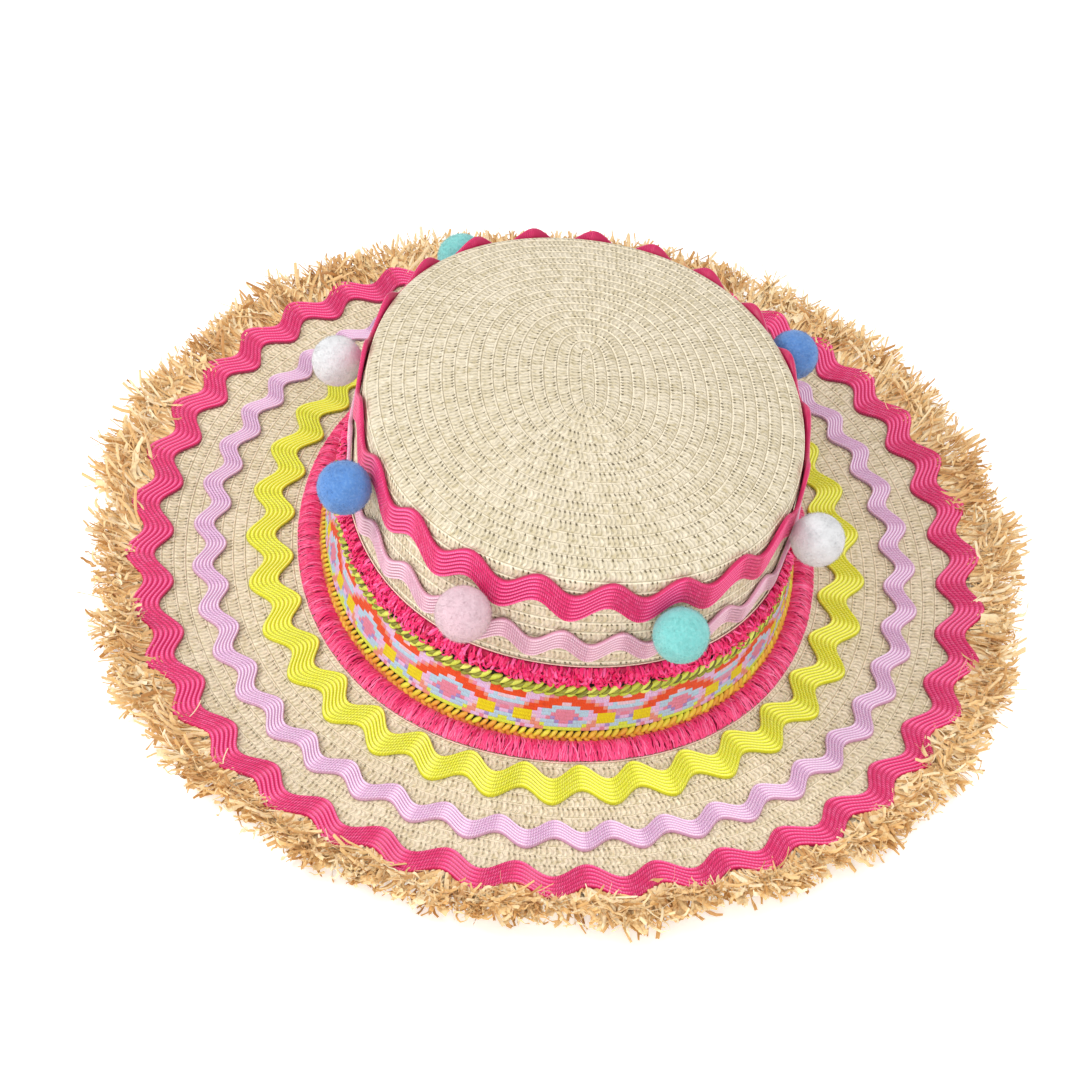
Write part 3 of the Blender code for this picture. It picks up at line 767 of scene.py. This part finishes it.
def face_corners(mesh, angle, index, last):
    """For every face corner: its face's first profile point, its own, and its unbroken angle."""
    corner_vertex = np.empty(len(mesh.loops), dtype=int)
    mesh.loops.foreach_get("vertex_index", corner_vertex)
    corner_vertex = corner_vertex.reshape(-1, 4)
    own = index[corner_vertex]
    first = own.min(axis=1)
    wraps = (own.max(axis=1) - first) > 1
    first = np.where(wraps, last, first)
    turns = angle[corner_vertex]
    low = turns.min(axis=1, keepdims=True)
    turns = np.where((turns.max(axis=1, keepdims=True) - low > math.pi) & (turns < 0),
                     turns + math.tau, turns)
    return first[:, None] + 0 * own, own, turns


def write_uv(mesh, name, along, across):
    """Give a mesh a UV map from two values for each face corner."""
    pairs = np.stack([along.ravel(), across.ravel()], axis=-1).astype(np.float32)
    layer = mesh.uv_layers.new(name=name)
    layer.data.foreach_set("uv", pairs.ravel())


def sewn_rows(path, row_edges, relief, first_row, seen_from=0.0):
    """Profile points of sewn rows along a path of (radius, height) points.

    row_edges are distances along the path. Each returned point has its place, and the row,
    middle radius and shares across of the stretch that starts there. A row that is seen only
    from some share outwards, as the middle one is, says so with seen_from.
    """
    path = np.array(path)
    passed = np.concatenate([[0], np.cumsum(np.hypot(*np.diff(path, axis=0).T))])
    slopes = np.gradient(path, passed, axis=0)
    shares = [place["share"] for place in relief] + [1.0]
    points = []
    for row, (start, end) in enumerate(zip(row_edges, row_edges[1:])):
        middle = np.interp((start + end) / 2, passed, path[:, 0])
        for place, share, next_share in zip(relief, shares, shares[1:]):
            here = min(max(start + share * (end - start), 0), passed[-1])
            radius, height = (np.interp(here, passed, path[:, axis]) for axis in (0, 1))
            run, climb = (np.interp(here, passed, slopes[:, axis]) for axis in (0, 1))
            outwards = np.array([-climb, run])
            outwards *= place["lift"] / max(np.hypot(*outwards), 1e-9)
            points.append({
                "radius": max(radius + outwards[0], SMALLEST_RADIUS),
                "height": height + outwards[1],
                "row": first_row + row,
                "middle": middle,
                "from": seen_from + (1 - seen_from) * share,
                "to": seen_from + (1 - seen_from) * next_share,
            })
    return points


def row_uv(mesh, angle, index, points, last):
    """UV that counts stitches along each sewn row and rows across."""
    first, own, turns = face_corners(mesh, angle, index, last)
    along = np.zeros(first.shape)
    starts, ends, rows = (np.array([p[key] for p in points]) for key in ("from", "to", "row"))
    across = np.where(own == first, starts[first], ends[first] - 0.0001) + rows[first]
    for row, middle in {p["row"]: p["middle"] for p in points}.items():
        angles, passed, length = way_round(middle, row_stretch(middle))
        stitches = max(round(length / STITCH_PITCH), 4)
        chosen = rows[first] == row
        turn = turns[chosen]
        wrapped = turn > math.pi
        share = np.interp(np.where(wrapped, turn - math.tau, turn), angles, passed) + wrapped
        along[chosen] = share * stitches
    write_uv(mesh, "rows", along, across)


def crown_path(inset):
    """A face of the crown, set in by some thickness, from the middle of its top to its foot."""
    corner = TOP_ROUNDING - inset
    dome = [(r, CROWN_TOP - inset + TOP_DOME * (1 - (r / FLAT_TOP_RADIUS) ** 2))
            for r in np.linspace(SMALLEST_RADIUS, FLAT_TOP_RADIUS, 40)]
    turn = [(FLAT_TOP_RADIUS + corner * math.sin(a), WALL_TOP + corner * math.cos(a))
            for a in np.linspace(0.15, math.pi / 2, 7)]
    wall = [(wall_radius(h) - inset, h) for h in np.linspace(WALL_TOP - 0.002, CROWN_FOOT, 20)]
    return dome + turn + wall


def path_length(path):
    """Length of a path of (radius, height) points."""
    return float(np.hypot(*np.diff(np.array(path), axis=0).T).sum())


def make_crown():
    """Crown of sewn straw, with its rows outside and in."""
    outside = crown_path(0.0)
    inside = crown_path(STRAW_THICKNESS)[::-1]
    length = path_length(outside)
    top_pitch = FLAT_TOP_RADIUS / (TOP_ROWS - 0.8)
    edges = [0.0, top_pitch / 2]
    while edges[-1] + 1.5 * WALL_ROW_PITCH < length:
        edges.append(edges[-1] + (top_pitch if edges[-1] < FLAT_TOP_RADIUS else WALL_ROW_PITCH))
    edges.append(length)
    points = sewn_rows(outside, edges[:2], PLAIN_RELIEF, 0, 0.5)
    points += sewn_rows(outside, edges[1:], ROW_RELIEF, 1)
    inner_edges = np.linspace(0, path_length(inside), BACK_ROWS + 1)
    points += sewn_rows(inside, inner_edges, PLAIN_RELIEF, len(edges))
    profile = [(p["radius"], p["height"]) for p in points]
    mesh, angle, radius, height, index = turned("crown", profile, CROWN_STEPS, False)
    row_uv(mesh, angle, index, points, -1)
    bend(mesh, on_crown(angle, radius, height))
    dress(mesh, "straw_crown", straw_material("crown_straw"), "straw", "crown")


def make_brim():
    """Brim of sewn straw, with its rows above and below."""
    radii = np.linspace(HEAD_RADIUS - STRAW_THICKNESS, BRIM_RADIUS, 60)
    above = [(r, brim_top(r)) for r in radii]
    below = [(r, brim_top(r) - STRAW_THICKNESS) for r in radii[::-1]]
    edges = np.linspace(0, path_length(above), BRIM_ROWS + 1)
    points = sewn_rows(above, edges, ROW_RELIEF, 0)
    points += sewn_rows(below, edges, PLAIN_RELIEF, BRIM_ROWS + 1)
    profile = [(p["radius"], max(p["height"], 0.0)) for p in points]
    mesh, angle, radius, height, index = turned("brim", profile, BRIM_STEPS, True)
    row_uv(mesh, angle, index, points, len(points) - 1)
    bend(mesh, on_brim(angle, radius, height))
    dress(mesh, "straw_brim", straw_material("brim_straw"), "straw", "brim")


def ribbed_section(width, ribs):
    """Section of a rick-rack trim as (place across, height) points, its ribbed face first."""
    section = []
    for rib in range(ribs):
        start = -width / 2 + width * rib / ribs
        section.append((start, BRAID_THICKNESS - RIB_DEPTH))
        section.append((start + 0.3 * width / ribs, BRAID_THICKNESS))
        section.append((start + 0.7 * width / ribs, BRAID_THICKNESS))
    section.append((width / 2, BRAID_THICKNESS - RIB_DEPTH))
    section.append((width / 2, 0))
    section.append((-width / 2, 0))
    return section


def make_trim(trim, look):
    """One rick-rack trim on the crown or the brim."""
    braid = trim["braid"]
    middle = TRIM_MIDDLES[trim["name"]]
    profile = [(middle + across, height) for across, height in ribbed_section(braid["width"], trim["ribs"])]
    steps = STEPS_PER_WAVE * trim["waves"]
    mesh, angle, radius, height, index = turned(trim["name"], profile, steps, True)
    phase = trim["waves"] * (angle - math.radians(trim["first_peak"]))
    swung = radius + braid["swing"] * np.cos(phase)
    write_values(mesh, "slope", -np.sin(phase))
    on_wall = trim["name"].startswith("crown")
    _, _, length = way_round(HEAD_RADIUS if on_wall else middle, OVAL_STRETCH)
    _, own, turns = face_corners(mesh, angle, index, len(profile) - 1)
    ribs_across = (np.arange(len(profile)) / 3).clip(0, trim["ribs"] - 0.001)
    write_uv(mesh, "ribs", turns / math.tau * round(length / CROSS_RIB_PITCH), ribs_across[own])
    lift = CLEARANCE + height
    if on_wall:
        lift = lift + WALL_TRIM_GAP * ((radius - middle) / braid["width"] + 0.5)
        swung = swung + trim["back_rise"] * np.sin(angle).clip(0, 1)
        bend(mesh, on_crown(angle, wall_radius(swung) + lift, swung))
    else:
        bend(mesh, on_brim(angle, swung, brim_top(swung) + lift))
    dress(mesh, "rick_rack_" + trim["name"], look, trim["material"], trim["name"])


def chart_letter(column, row):
    """Letter of the band's chart at a column of the whole repeat."""
    half = len(BAND_CHART[0])
    column = column % (2 * half)
    return BAND_CHART[row][column if column < half else 2 * half - 1 - column]


def make_band(look):
    """Ribbon of small raised pads, one for each square of the chart."""
    rows = len(BAND_CHART)
    columns = 2 * len(BAND_CHART[0]) * BAND_REPEATS
    outer = CLEARANCE + BAND_THICKNESS
    section = []
    for row in range(rows):
        top = BAND_FOOT + BAND_WIDTH * (1 - row / rows)
        section.append((outer - PAD_DEPTH, top))
        section.append((outer, top - 0.25 * BAND_WIDTH / rows))
        section.append((outer, top - 0.75 * BAND_WIDTH / rows))
    section.append((outer - PAD_DEPTH, BAND_FOOT))
    section.append((CLEARANCE, BAND_FOOT))
    section.append((CLEARANCE, BAND_FOOT + BAND_WIDTH))
    profile = [(HEAD_RADIUS + out, height) for out, height in section]
    mesh, angle, radius, height, index = turned("band", profile, 2 * columns, True)
    first, own, turns = face_corners(mesh, angle, index, len(profile) - 1)
    corner_steps = turns / math.tau * 2 * columns
    cells = np.floor(corner_steps.mean(axis=1) / 2).astype(int)
    face_rows = np.clip(first[:, 0] // 3, 0, rows - 1)
    write_uv(mesh, "threads", corner_steps / 2, own / 3.0)
    palette = {letter: screen(colour) for letter, colour in BAND_COLOURS.items()}
    colours = np.array([palette[chart_letter(c, r)] for c, r in zip(cells, face_rows)])
    layer = mesh.color_attributes.new(name="chart_colour", type="FLOAT_COLOR", domain="CORNER")
    layer.data.foreach_set("color", np.repeat(colours, 4, axis=0).astype(np.float32).ravel())
    step = np.rint(angle / math.tau * 2 * columns).astype(int)
    off_wall = radius - HEAD_RADIUS
    groove = (step % 2 == 0) & (off_wall > outer - 0.5 * PAD_DEPTH)
    off_wall = off_wall - groove * PAD_DEPTH * 0.6
    spread = even_angles(angle / math.tau, HEAD_RADIUS, BAND_START)
    bend(mesh, on_band(spread, off_wall, height))
    dress(mesh, "woven_ribbon", look, "woven_band", "band")


def make_wall_ring(name, look, slot, foot, top, out):
    """Plain ring of a cord or the upper fringe, between two heights and out to some distance."""
    edge = 0.25 * (top - foot)
    section = [(out, top - edge), (out, foot + edge), (CLEARANCE, foot), (CLEARANCE, top)]
    profile = [(HEAD_RADIUS + off_wall, height) for off_wall, height in section]
    mesh, angle, radius, height, _ = turned(name, profile, RING_STEPS, True)
    bend(mesh, on_band(angle, radius - HEAD_RADIUS, height))
    dress(mesh, name, look, slot)


def make_brim_ring(name, look, slot, section):
    """Thin ring on the brim from (radius, height above the brim) points."""
    mesh, angle, radius, height, _ = turned(name, section, RING_STEPS, True)
    bend(mesh, on_brim(angle, radius, brim_top(radius) + height))
    dress(mesh, name, look, slot)


def template_arrays(bm):
    """Corner places of a small template and its faces' corners and sizes. It is then freed."""
    bm.verts.index_update()
    corners = np.array([v.co for v in bm.verts])
    loops = np.array([v.index for f in bm.faces for v in f.verts])
    sizes = np.array([len(f.verts) for f in bm.faces])
    bm.free()
    return corners, (loops, sizes)


def strip_template(along):
    """Flat strip, two faces wide, with x from -1 to 1 across it and y from 0 to 1 along it."""
    bm = bmesh.new()
    bmesh.ops.create_grid(bm, x_segments=2, y_segments=along, size=1)
    bmesh.ops.scale(bm, vec=(1, 0.5, 1), verts=bm.verts)
    bmesh.ops.translate(bm, vec=(0, 0.5, 0), verts=bm.verts)
    return template_arrays(bm)


def pad_template():
    """Small round pad, one unit in radius."""
    bm = bmesh.new()
    bmesh.ops.create_uvsphere(bm, u_segments=8, v_segments=6, radius=1)
    return template_arrays(bm)


def fibre_template():
    """Three-sided spike, one unit long and one unit in radius at its root."""
    bm = bmesh.new()
    bmesh.ops.create_cone(bm, segments=3, radius1=1, radius2=0, depth=1, cap_ends=False)
    bmesh.ops.translate(bm, vec=(0, 0, 0.5), verts=bm.verts)
    bmesh.ops.remove_doubles(bm, verts=bm.verts, dist=0.0001)
    return template_arrays(bm)


def dress_copies(name, places, faces, tones, look, slot, *nodes):
    """Show many copies of a template as one piece, each at its own corner places and with a tone."""
    loops, sizes = faces
    copies, corners = places.shape[:2]
    mesh = bpy.data.meshes.new(name)
    mesh.vertices.add(copies * corners)
    mesh.vertices.foreach_set("co", places.astype(np.float32).ravel())
    mesh.loops.add(copies * len(loops))
    shifted = loops[None] + corners * np.arange(copies)[:, None]
    mesh.loops.foreach_set("vertex_index", shifted.astype(np.int32).ravel())
    mesh.polygons.add(copies * len(sizes))
    ends = np.cumsum(np.tile(sizes, copies))
    mesh.polygons.foreach_set("loop_start", np.concatenate([[0], ends[:-1]]).astype(np.int32))
    mesh.update(calc_edges=True)
    write_values(mesh, "tone", np.repeat(tones, corners))
    dress(mesh, name, look, slot, *nodes)


def between(rng, span, count):
    """Column of even random values inside a span."""
    return rng.uniform(*span, (count, 1))


def around(rng, spread, count):
    """Column of random values gathered around zero."""
    return rng.normal(0, spread, (count, 1))


def ribbons(corners, length, lean, bow, width, twist):
    """Flat folded strands that leave their roots at a lean and bow evenly.

    Returns the distance of every corner ahead of its root, to the side and up.
    """
    across, share = corners[None, :, 0], corners[None, :, 1]
    chord = length * share * np.sinc(bow * share / math.tau)
    toward = lean + bow * share / 2
    heading = lean + bow * share
    flat = across * width * np.cos(twist)
    ahead = chord * np.cos(toward) - flat * np.sin(heading)
    side = chord * np.sin(toward) + flat * np.cos(heading)
    up = across * width * np.sin(twist) + (1 - np.abs(across)) * width * 0.6
    return ahead, side, up


def make_cord(name, look, slot, node, count, foot, rows):
    """Twisted cord of slanted stitches on the wall."""
    rng = np.random.default_rng(21)
    corners, faces = pad_template()
    all_places, all_tones = [], []
    for row in rows:
        angle = even_angles((np.arange(count)[:, None] + row["shift"]) / count, HEAD_RADIUS, BAND_START)
        lean = row["lean"] * between(rng, (0.85, 1.15), count)
        size = between(rng, (0.88, 1.12), count)
        up = corners[None, :, 2] * row["length"] / 2 * size
        side = corners[None, :, 0] * row["width"] / 2 * size
        out = CLEARANCE + CORD_THICKNESS * (0.45 + 0.35 * corners[None, :, 1])
        height = foot + row["middle"] * CORD_WIDTH + up * np.cos(lean) - side * np.sin(lean)
        along = side * np.cos(lean) + up * np.sin(lean)
        turn = along / length_per_turn(angle, HEAD_RADIUS)
        all_places.append(on_band(angle + turn, out, height))
        all_tones.append(rng.uniform(*row["tones"], count))
    dress_copies(name, np.concatenate(all_places), faces, np.concatenate(all_tones), look, slot, node)


def make_cords():
    """Lime cord above the band and gold cord below it, over rings of painted shade: nearly black rings in
    the cords' upper halves and grounds in each cord's deepest colour in their lower halves.
    """
    lime = toned_material("lime_cord", LIME_THREADS, 0.45, CORD_GRAIN)
    gold = toned_material("gold_cord", GOLD_THREADS, 0.45, CORD_GRAIN)
    gap_shade = toned_material("cord_gap_shade", CORD_GAP_SHADE, 0.9, CORD_GAP_SHADE_GRAIN)
    make_cord("lime_rope", lime, "lime_cord", "band_upper_cord", UPPER_CORD_PADS, UPPER_CORD_FOOT,
              UPPER_CORD_ROWS)
    make_cord("gold_rope", gold, "gold_cord", "band_lower_cord", LOWER_CORD_PADS, LOWER_CORD_FOOT,
              LOWER_CORD_ROWS)
    for name, look, foot in (("lime", lime, UPPER_CORD_FOOT), ("gold", gold, LOWER_CORD_FOOT)):
        middle = foot + 0.5 * CORD_WIDTH
        # Painted shade: the ground ring takes the cord's deepest colour, the gap ring a nearly black one
        make_wall_ring(name + "_cord_ground_shade", look, name + "_cord", foot, middle, CORD_GROUND_OUT)
        make_wall_ring(name + "_cord_gap_shade", gap_shade, name + "_cord", middle, foot + CORD_WIDTH, CORD_GAP_SHADE_OUT)


def make_upper_fringe():
    """Short glossy curls at mixed angles above the band, with a fine pale thread along their top."""
    rng = np.random.default_rng(31)
    corners, faces = strip_template(5)
    count = UPPER_CURLS
    share = corners[None, :, 1]
    angle = even_angles(between(rng, (0, 1), count), HEAD_RADIUS, BAND_START)
    length = between(rng, (0.40, 0.80), count) * UPPER_FRINGE_LENGTH
    middle = UPPER_FRINGE_FOOT + between(rng, (0.10, 0.90), count) * UPPER_FRINGE_LENGTH
    bow = around(rng, 1.4, count)
    lean = around(rng, 0.70, count) - bow / 2
    bulge = between(rng, (0.25, 1.0), count) * UPPER_FRINGE_THICKNESS
    width = between(rng, CURL_WIDTH, count)
    ahead, side, up = ribbons(corners, length, lean, bow, width, around(rng, 0.4, count))
    height = np.clip(middle + ahead - length / 2, UPPER_FRINGE_FOOT - 0.0010, UPPER_FRINGE_TOP + 0.0002)
    out = CLEARANCE + 0.0004 + bulge * np.sin(math.pi * np.clip(share, 0.03, 0.97)) * 0.8 + up
    turn = side / length_per_turn(angle, HEAD_RADIUS)
    places = on_band(angle + turn, out, height)
    # Curls that bulge further out take lighter tones as painted light, flatter ones deeper tones as painted
    # shade
    tones = np.clip(0.15 + 0.6 * bulge[:, 0] / UPPER_FRINGE_THICKNESS + rng.normal(0, 0.2, count), 0, 1)
    threads = toned_material("upper_fringe_threads", UPPER_FRINGE_THREADS, 0.32, FRINGE_GRAIN, 0.2)
    dress_copies("looped_fringe", places, faces, tones, threads, "hot_pink_fringe", "band_upper_fringe")
    # The ground ring behind the curls is painted shade
    ground_shade = toned_material("fringe_ground_shade", FRINGE_GROUND_SHADE, 0.6, FRINGE_GROUND_GRAIN)
    make_wall_ring("looped_fringe_ground_shade", ground_shade, "hot_pink_fringe", UPPER_FRINGE_FOOT,
                   UPPER_FRINGE_TOP, FRINGE_GROUND_OUT)
    edge = toned_material("fringe_edge_thread", FRINGE_EDGE, 0.6, CORD_GRAIN)
    make_wall_ring("looped_fringe_edge", edge, "hot_pink_fringe", UPPER_FRINGE_TOP,
                   UPPER_FRINGE_TOP + FRINGE_EDGE_WIDTH, FRINGE_EDGE_OUT)
    return ground_shade, edge


def make_lower_fringe(ground_shade, edge):
    """Dense fine threads that puff out from under the lower cord and end in a neat edge."""
    rng = np.random.default_rng(41)
    corners, faces = strip_template(7)
    count = LOWER_THREADS
    share = corners[None, :, 1]
    spots = (np.arange(count)[:, None] + between(rng, (-0.5, 0.5), count)) / count
    fold = np.floor(spots * LOWER_FOLDS).astype(int) % LOWER_FOLDS
    within = 2 * (spots * LOWER_FOLDS % 1) - 1
    bow = rng.normal(0, 0.30, LOWER_FOLDS)[fold] + around(rng, 0.50, count)
    lean = rng.normal(0, 0.08, LOWER_FOLDS)[fold] + around(rng, 0.14, count) - bow / 2
    level = rng.uniform(0.85, 1.0, LOWER_FOLDS)[fold] * (1 - 0.15 * within**2) + around(rng, 0.06, count)
    angle = even_angles(spots, HEAD_RADIUS, BAND_START)
    inner = HEAD_RADIUS + BAND_HANG[0]["stand_off"] + 0.0014
    outer = LOWER_FRINGE_OUTER - FRINGE_EDGE_WIDTH
    length = (outer - inner) * between(rng, (0.97, 1.04), count) / np.cos(lean + bow / 2)
    width = between(rng, THREAD_WIDTH, count)
    ahead, side, up = ribbons(corners, length, lean, bow, width, around(rng, 0.3, count))
    side = side + THREAD_CRINKLE * np.sin(between(rng, (0, math.tau), count) + 11 * share)
    radius = np.minimum(inner + ahead, outer + 0.0003)
    puff = np.sin(math.pi * (0.12 + 0.85 * share)) ** 0.8
    lift = CLEARANCE + 0.0003 + FRINGE_PUFF * puff * level + up
    turn = side / length_per_turn(angle, LOWER_FRINGE_OUTER)
    places = on_brim(angle + turn, radius, brim_top(radius) + lift)
    # Threads near the edges of each fold take deeper tones, painted shade between the folds
    tones = np.clip(0.66 - 0.15 * within[:, 0] ** 2 + rng.normal(0, 0.20, count), 0, 1)
    threads = toned_material("lower_fringe_threads", LOWER_FRINGE_THREADS, 0.35, FRINGE_GRAIN, 0.15)
    dress_copies("satin_fringe", places, faces, tones, threads, "hot_pink_fringe", "band_lower_fringe")
    # The ground ring under the threads is painted shade
    ground_inner = LOWER_FRINGE_INNER + 0.0030
    ground_outer = outer - 0.0006
    make_brim_ring("satin_fringe_ground_shade", ground_shade, "hot_pink_fringe",
                   [(ground_outer, 0.0009), (ground_outer, CLEARANCE), (ground_inner, CLEARANCE),
                    (ground_inner, 0.0016), (ground_inner + 0.0030, 0.0022)])
    edge_outer = outer + 0.0005
    edge_top = 0.0006
    make_brim_ring("satin_fringe_edge", edge, "hot_pink_fringe",
                   [(edge_outer, CLEARANCE), (edge_outer, edge_top), (outer, edge_top), (outer, CLEARANCE)])


def raffia_places(corners, root, angle, ribbon, start, rise):
    """World places of strands that run outwards over the brim and its edge."""
    share = corners[None, :, 1]
    ahead, side, up = ribbon
    radius = root + ahead
    height = brim_top(np.minimum(radius, BRIM_RADIUS)) + start + rise * share**2 + up
    turn = side / length_per_turn(angle, BRIM_RADIUS)
    return on_brim(angle + turn, radius, np.maximum(height, CLEARANCE))


def make_raffia(look):
    """Frayed raffia in tufts of flat crumpled strands, with curls, films, hairs and an under layer."""
    rng = np.random.default_rng(51)
    corners, faces = strip_template(6)
    share = corners[None, :, 1]
    tuft_length = rng.uniform(0.45, 1.00, RAFFIA_TUFTS)
    tuft_lean = rng.normal(0, 0.28, RAFFIA_TUFTS)
    tuft_rise = rng.uniform(0.0, 0.35, RAFFIA_TUFTS)
    tuft_tone = rng.normal(0, 0.08, RAFFIA_TUFTS)
    for kind in RAFFIA_KINDS:
        count = kind["count"]
        tuft = rng.integers(0, RAFFIA_TUFTS, (count, 1))
        within = around(rng, 0.38, count)
        angle = even_angles((tuft + 0.5 + within) / RAFFIA_TUFTS, BRIM_RADIUS)
        root = BRIM_RADIUS + between(rng, kind["root"], count)
        length = RAFFIA_LENGTH * tuft_length[tuft] * between(rng, kind["length"], count)
        front = np.clip(-np.sin(angle), 0, 1)
        length = length * (1 + SIDE_RAFFIA * np.cos(angle) ** 2 - FRONT_RAFFIA * front)
        length = length + np.maximum(BRIM_RADIUS - root, 0)
        bow = around(rng, kind["bend"], count)
        lean = tuft_lean[tuft] + 0.25 * within + around(rng, kind["lean"], count) - bow / 3
        width = between(rng, kind["width"], count) * (1 - 0.25 * share**4)
        twist = around(rng, 0.4, count) + around(rng, 1.8, count) * share
        ribbon = ribbons(corners, length, lean, bow, width, twist)
        rise = RAFFIA_RISE * (tuft_rise[tuft] + between(rng, kind["rise"], count))
        crumple = RAFFIA_CRUMPLE * np.sin(between(rng, (0, math.tau), count) + 10 * share) * share
        start = between(rng, kind["start"], count) + crumple
        places = raffia_places(corners, root, angle, ribbon, start, rise)
        tones = np.clip(rng.uniform(*kind["tones"], count) + tuft_tone[tuft[:, 0]], 0, 1)
        nodes = ("raffia_fringe",) if kind["name"] == "raffia_strands" else ()
        dress_copies(kind["name"], places, faces, tones, look, "raffia", *nodes)


def make_strays(look):
    """A few pale strands that lie over the outer trim."""
    rng = np.random.default_rng(61)
    corners, faces = strip_template(5)
    count = len(STRAYS)
    angle, root, length, lean = (np.array([[stray[key]] for stray in STRAYS])
                                 for key in ("angle", "radius", "length", "lean"))
    ribbon = ribbons(corners, length, lean, around(rng, 0.3, count), STRAY_WIDTH, 0.2)
    start = CLEARANCE + BRAID_THICKNESS + CLEARANCE
    rise = 0.0008
    places = raffia_places(corners, root, np.radians(angle), ribbon, start, rise)
    dress_copies("stray_raffia", places, faces, rng.uniform(0.85, 1, count), look, "raffia")


def unit(arrows):
    """Arrows of length one in the same directions."""
    return arrows / np.linalg.norm(arrows, axis=1, keepdims=True)


def make_pompom(rng, node, look, slot):
    """Felted wool ball with short fuzz."""
    low, high = (np.array(corner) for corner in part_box(node))
    middle = (low + high) / 2
    bm = bmesh.new()
    bmesh.ops.create_icosphere(bm, subdivisions=4, radius=1)
    ball = bpy.data.meshes.new("felt_" + node)
    bm.to_mesh(ball)
    bm.free()
    points = np.empty(len(ball.vertices) * 3)
    ball.vertices.foreach_get("co", points)
    points = points.reshape(-1, 3)
    waves = rng.normal(0, 5, (6, 3))
    lumps = np.sin(points @ waves.T).mean(axis=1)
    bend(ball, middle + points * (POMPOM_RADIUS * (FELT_SIZE + FELT_LUMPS * lumps))[:, None])
    dress(ball, "felt_" + node, look, slot, node)
    spike, faces = fibre_template()
    out, lean, side = rng.normal(0, 1, (3, FIBRES_PER_POMPOM, 3))
    out = unit(out)
    lean = unit(out + 0.75 * lean)
    side = unit(np.cross(lean, side))
    other = np.cross(lean, side)
    length = between(rng, FUZZ_LENGTH, FIBRES_PER_POMPOM)
    root = middle + out * POMPOM_RADIUS * FUZZ_ROOT
    shape_x, shape_y, shape_z = (spike[None, :, axis, None] for axis in range(3))
    girth = FUZZ_RADIUS * (shape_x * side[:, None] + shape_y * other[:, None])
    places = root[:, None] + shape_z * (lean * length)[:, None] + girth
    tones = rng.uniform(0, 1, FIBRES_PER_POMPOM)
    dress_copies("fuzz_" + node, places, faces, tones, look, slot)


def make_pompoms():
    """The eight pompoms round the crown."""
    rng = np.random.default_rng(71)
    looks = {wool: wool_material(wool) for wool in WOOLS}
    for number, wool in enumerate(POMPOM_WOOLS, start=1):
        make_pompom(rng, f"pompom_{number}", looks[wool], wool)


def make_floor():
    """White floor under the hat."""
    bm = bmesh.new()
    bmesh.ops.create_grid(bm, x_segments=1, y_segments=1, size=FLOOR_HALF_WIDTH)
    mesh = bpy.data.meshes.new("floor")
    bm.to_mesh(mesh)
    bm.free()
    mesh.materials.append(floor_material())
    floor = bpy.data.objects.new("floor", mesh)
    floor.location = (0, 0, FLOOR_HEIGHT)
    bpy.context.scene.collection.objects.link(floor)


def set_light():
    """Soft studio light: a bright room, a small lamp on each side and a broad one in front."""
    world = bpy.data.worlds.new("studio")
    world.use_nodes = True
    world.node_tree.nodes["Background"].inputs[0].default_value = (1, 1, 1, 1)
    world.node_tree.nodes["Background"].inputs[1].default_value = WORLD_STRENGTH
    bpy.context.scene.world = world
    for lamp in LAMPS:
        light = bpy.data.lights.new(lamp["name"], "AREA")
        light.size = lamp["size"]
        light.energy = lamp["watts"]
        place = Vector(lamp["place"])
        holder = bpy.data.objects.new(lamp["name"], light)
        holder.location = place
        holder.rotation_euler = (LAMP_TARGET - place).to_track_quat("-Z", "Y").to_euler()
        bpy.context.scene.collection.objects.link(holder)
    view = bpy.context.scene.view_settings
    view.view_transform = "Standard"
    view.look = "None"


def set_camera():
    """The photo's camera: placed by its angles round the hat, with a slight roll."""
    azimuth, elevation, roll = (math.radians(a) for a in (CAMERA_AZIMUTH, CAMERA_ELEVATION, CAMERA_ROLL))
    back = Vector((math.sin(azimuth) * math.cos(elevation), -math.cos(azimuth) * math.cos(elevation),
                   math.sin(elevation)))
    level = Vector((math.cos(azimuth), math.sin(azimuth), 0))
    upright = back.cross(level)
    right = math.cos(roll) * level + math.sin(roll) * upright
    up = -math.sin(roll) * level + math.cos(roll) * upright
    lens = bpy.data.cameras.new("photo")
    lens.lens = CAMERA_LENS
    lens.sensor_width = SENSOR_WIDTH
    camera = bpy.data.objects.new("photo", lens)
    turn = Matrix((right, up, back)).transposed().to_4x4()
    camera.matrix_world = Matrix.Translation(CAMERA_TARGET + back * CAMERA_DISTANCE) @ turn
    bpy.context.scene.collection.objects.link(camera)
    bpy.context.scene.camera = camera


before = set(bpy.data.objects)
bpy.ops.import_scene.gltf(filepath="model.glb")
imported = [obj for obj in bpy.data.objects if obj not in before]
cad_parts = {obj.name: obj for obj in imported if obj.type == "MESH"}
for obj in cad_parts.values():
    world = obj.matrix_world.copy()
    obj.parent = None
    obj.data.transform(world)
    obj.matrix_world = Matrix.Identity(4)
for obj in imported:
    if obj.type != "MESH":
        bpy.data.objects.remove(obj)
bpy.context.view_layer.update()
STITCHES = stitches_group()
WEAVE = weave_group()

make_crown()
make_brim()
braid_looks = {name: braid_material(name) for name in BRAIDS}
for trim in TRIMS:
    make_trim(trim, braid_looks[trim["material"]])
make_band(band_material())
make_cords()
make_lower_fringe(*make_upper_fringe())
raffia = toned_material("raffia", RAFFIA_COLOURS, 0.45, RAFFIA_GRAIN, 0.50)
make_raffia(raffia)
make_strays(raffia)
make_pompoms()
make_floor()
set_light()
set_camera()
